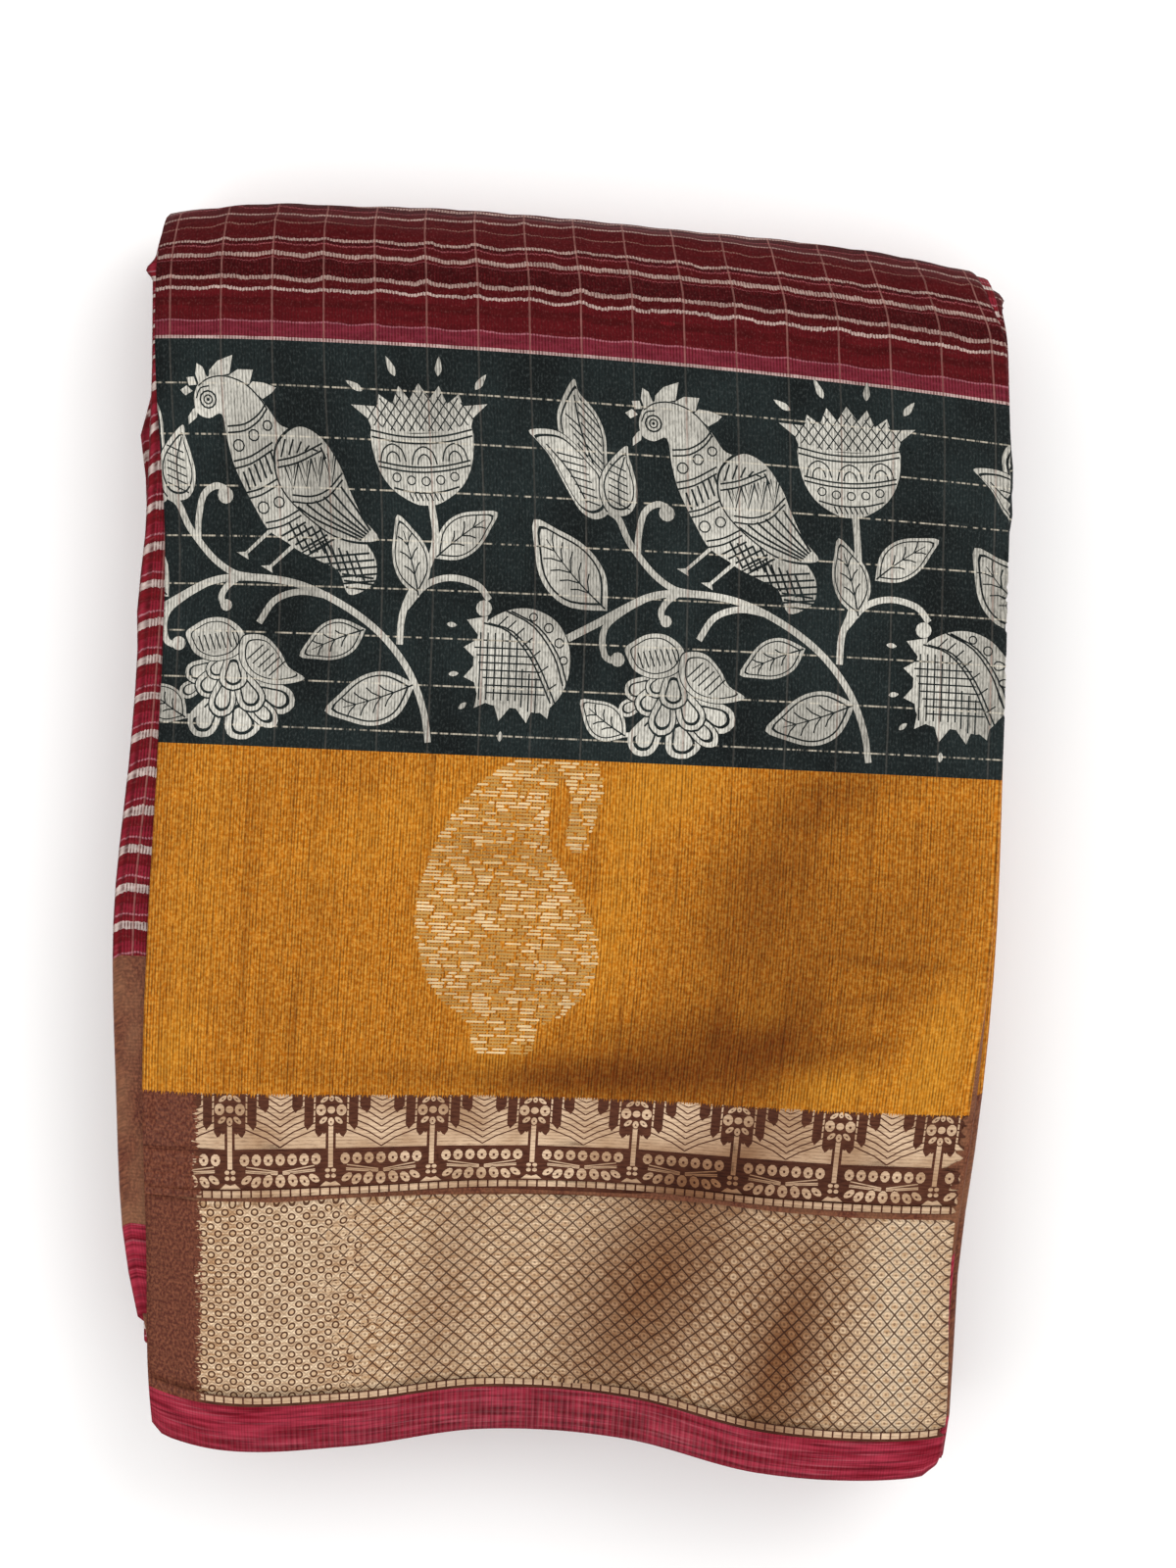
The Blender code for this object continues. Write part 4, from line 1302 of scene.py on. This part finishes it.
def lattice_zari(cloth):
    """Zari brocade: brown lines cross in a lattice, and each diamond holds a pale float in a brown ring,
    under painted glints and painted shade.
    """
    u, v = cloth.u, cloth.v + patchy(cloth, 14, 20) * 0.8
    across, up = u / LATTICE_ACROSS, v / LATTICE_UP
    left, right = (across + up).do("FRACT") - 0.5, (across - up).do("FRACT") - 0.5
    far = left.do("ABSOLUTE").do("MAXIMUM", right.do("ABSOLUTE"))
    spread = left * left + right * right
    right_side = (cloth.u + patchy(cloth, 7, 4) * 16).rise(58, 60)
    # Painted shade: the zari darkens from u 40 to 85 mm, towards the right, as its glint fades
    painted_shade_rightward = cloth.u.rise(40, 85)
    flower = (spread - right_side * 0.055).do("LESS_THAN", LATTICE_FLOAT)
    colour = dyed(cloth, patchy(cloth, 5, 0.7, low=0.4, high=0.6), "#EED0AC", "#B48A62")
    colour = dyed(cloth, painted_shade_rightward * 0.45, colour, "#8E6848")
    # Painted glints
    colour = dyed(cloth, patched(cloth, GLINTS) * 0.4, colour, "#F6E4C6")
    ring = spread.do("LESS_THAN", LATTICE_RING) * (right_side * -0.65 + 0.95)
    colour = dyed(cloth, ring, colour, "#44220E")
    float_colour = dyed(cloth, patchy(cloth, 6, 0.8), "#E0C4A2", "#B8946E")
    colour = dyed(cloth, flower, colour, float_colour)
    colour = dyed(cloth, spread.do("LESS_THAN", LATTICE_EYE) * right_side * 0.6, colour, "#502A12")
    lines = far.do("GREATER_THAN", LATTICE_LINE) * (right_side * 0.55 + 0.35)
    colour = dyed(cloth, lines, colour, "#3A1C0C")
    return float_shaded(cloth, dulled(cloth, colour)), flower


def float_shaded(cloth, colour):
    """The fine dark lines between floats that run across the cloth: painted shade in the grooves between
    them.
    """
    lines = cloth.v.wave(FLOAT_LINE_PITCH) * patchy(cloth, 2.4, 0.5, low=0.3, high=0.7) * 0.5
    return dyed(cloth, lines, colour, "#462818")


def brown_ground(cloth):
    """The brocade's brown ground silk between its zari floats."""
    colour = dyed(cloth, patchy(cloth, 3, 0.5), "#3E1E14", "#5A3424")
    return float_shaded(cloth, dulled(cloth, colour)), 0.0


def zari_float(low, high):
    """Metal-wrapped thread in floats across the cloth, with painted shade where it faces away from the light
    and where its shine is painted dull.
    """

    def paint(cloth):
        colour = dyed(cloth, patchy(cloth, 18, 12), low, high)
        colour = dyed(cloth, patchy(cloth, 2.0, 0.4, low=0.5, high=0.8) * 0.6, colour, "#80583C")
        return float_shaded(cloth, dulled(cloth, colour)), 1.0

    return paint


# Where the selvedge is thin
SHEER = ((88, 4, 0, 44, 9, 1.0), (136, 4, 0, 36, 9, 0.7), (30, 1, 0, 30, 4, 0.5))


def selvedge_silk(cloth):
    """Crimson selvedge in soft creases, with painted shade and painted highlights in streaks along them, thin
    enough at mid hem that pale threads down it catch the light.
    """
    colour = dyed(cloth, patchy(cloth, 16, 1.4), "#761020", "#A83245")
    # Painted shade and painted highlights: thin dark and pale streaks along the hem's creases
    colour = dyed(cloth, patchy(cloth, 16, 0.8, low=0.5, high=0.64) * 0.5, colour, "#3E0610")
    colour = dyed(cloth, patchy(cloth, 24, 0.6, low=0.56, high=0.7) * 0.34, colour, "#C4707A")
    colour = dyed(cloth, cloth.u.wave(RIB_PITCH * 2) * patched(cloth, SHEER) * 0.16, colour, "#B08080")
    colour = dyed(cloth, patchy(cloth, 0.8, 12) * patched(cloth, SHEER) * 0.45, colour, "#2E0A0C")
    return ribbed(cloth, colour, 0.3), 0.0


# Each finish is a real material, with how its surface was made and what that gives the eye, and where light
# and shade are painted into its colour
FINISHES = {
    # Plain-woven silk, dyed crimson in the yarn: matt and thin, with a faint bloom and painted streaks of
    # shade and highlight on its creases
    "selvedge": silk("selvedge_silk", selvedge_silk, 0.6, 0.03, gloss=0.05),
    # Zari brocade, gilt thread floated over silk: a broken warm shine with painted glints and painted shade,
    # with brown rings and lines in it
    "zari": silk("zari_brocade", lattice_zari, 0.42, relief_height=0.06, gloss=0.1),
    # Brown silk ground of the brocade, plain woven between the floats: dull, so the gilt stands out, with the
    # zari's painted shade on it
    "zari_ground": silk("zari_brocade_ground", brown_ground, 0.5, gloss=0.08),
    # Zari thread, gilt wire wound on silk and laid in long floats: raised, pale and finely lined, with
    # painted shade where it faces away from the light
    "zari_gold": silk("zari_thread", zari_float("#AE8C6C", "#DABC9C"), 0.38, relief_height=0.08),
    # Mustard silk, handwoven with uneven yarn: warm and matt, streaked by slubs, with painted shade, brown in
    # its creases, and painted highlights
    "mustard": silk("mustard_silk", mustard_silk, 0.55, 0.03, gloss=0.06),
    # Zari thread with its gilt rubbed off by wear: dull ochre dashes just over the mustard
    "paisley_gold": silk("worn_zari_thread", zari_float("#A87E40", "#C49A58"), 0.4, relief_height=0.1),
    # Zari thread with its gilt whole: pale dashes that catch the light beside the worn ones
    "paisley_bright": silk("bright_zari_thread", zari_float("#D2B480", "#E6CC9E"), 0.36, relief_height=0.1),
    # Silk printed black: flat and near black with a green cast, speckled where pale threads show through
    "print_black": silk("black_printed_silk", black_ground, 0.6, gloss=0.09),
    # Silk left undyed by the print: chalky off white, worn so that dark threads show in it, with painted
    # shade in the gaps between its ribs
    "print_white": silk("undyed_printed_silk", undyed_print, 0.62, gloss=0.09),
    # Yarn-dyed silk, woven in maroon with pale stripes: deep and matt, its stripes broken by the ribs
    "ground": silk("striped_maroon_silk", striped_ground, 0.65, 0.01, gloss=0.04),
}
SLOTS = list(FINISHES)


def build_camera():
    """Straight above the pack, at the photo's scale: 0.2307 mm of the top face to a pixel of 1200 by 1600."""
    height, face_height, scale, frame_pixels = 0.90, 0.040, 0.2307 * MM, 1600
    camera = bpy.data.cameras.new("camera")
    camera.sensor_fit = "VERTICAL"
    camera.sensor_height = 24.0
    camera.lens = 24.0 * (height - face_height) / (scale * frame_pixels)
    seen = bpy.data.objects.new("camera", camera)
    seen.location = (7.5 * MM, 12.7 * MM, height)
    bpy.context.scene.collection.objects.link(seen)
    bpy.context.scene.camera = seen


def build_stage():
    bm = bmesh.new()
    bmesh.ops.create_grid(bm, x_segments=1, y_segments=1, size=3.0)
    mesh = bpy.data.meshes.new("floor")
    bm.to_mesh(mesh)
    bm.free()
    floor = bpy.data.objects.new("floor", mesh)
    bpy.context.scene.collection.objects.link(floor)
    # White paper, uncoated: matt and even, so that only the pack's soft shadow shows on it
    paper = bpy.data.materials.new("white_paper")
    paper.use_nodes = True
    shader = paper.node_tree.nodes["Principled BSDF"]
    shader.inputs["Base Color"].default_value = linear("#FEFDFC")
    shader.inputs["Roughness"].default_value = 0.9
    mesh.materials.append(paper)


def build_light():
    bpy.context.scene.view_settings.view_transform = "Standard"
    world = bpy.data.worlds.new("studio")
    bpy.context.scene.world = world
    world.use_nodes = True
    background = world.node_tree.nodes["Background"]
    background.inputs["Color"].default_value = linear("#FFFFFF")
    background.inputs["Strength"].default_value = 0.92
    for name, place, size, power in (
        ("key", (0.6, 0.55, 0.95), 0.8, 5.0),
        ("fill", (-0.8, -0.3, 0.9), 1.0, 3.0),
    ):
        light = bpy.data.lights.new(name, "AREA")
        light.size = size
        light.energy = power
        lamp = bpy.data.objects.new(name, light)
        lamp.location = place
        lamp.rotation_euler = Vector(place).to_track_quat("Z", "Y").to_euler()
        bpy.context.scene.collection.objects.link(lamp)


def dress(piece):
    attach(piece, "root")
    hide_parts("sari")


materials = [FINISHES[name] for name in SLOTS]
drawn = temple_shapes() + printed_shapes() + paisley_floats()
front = new_sheet("front_leaf", *front_leaf(SLOTS, drawn), materials)
under = new_sheet("folds", *folds(SLOTS), materials)
dress(front)
dress(under)
build_stage()
build_camera()
build_light()
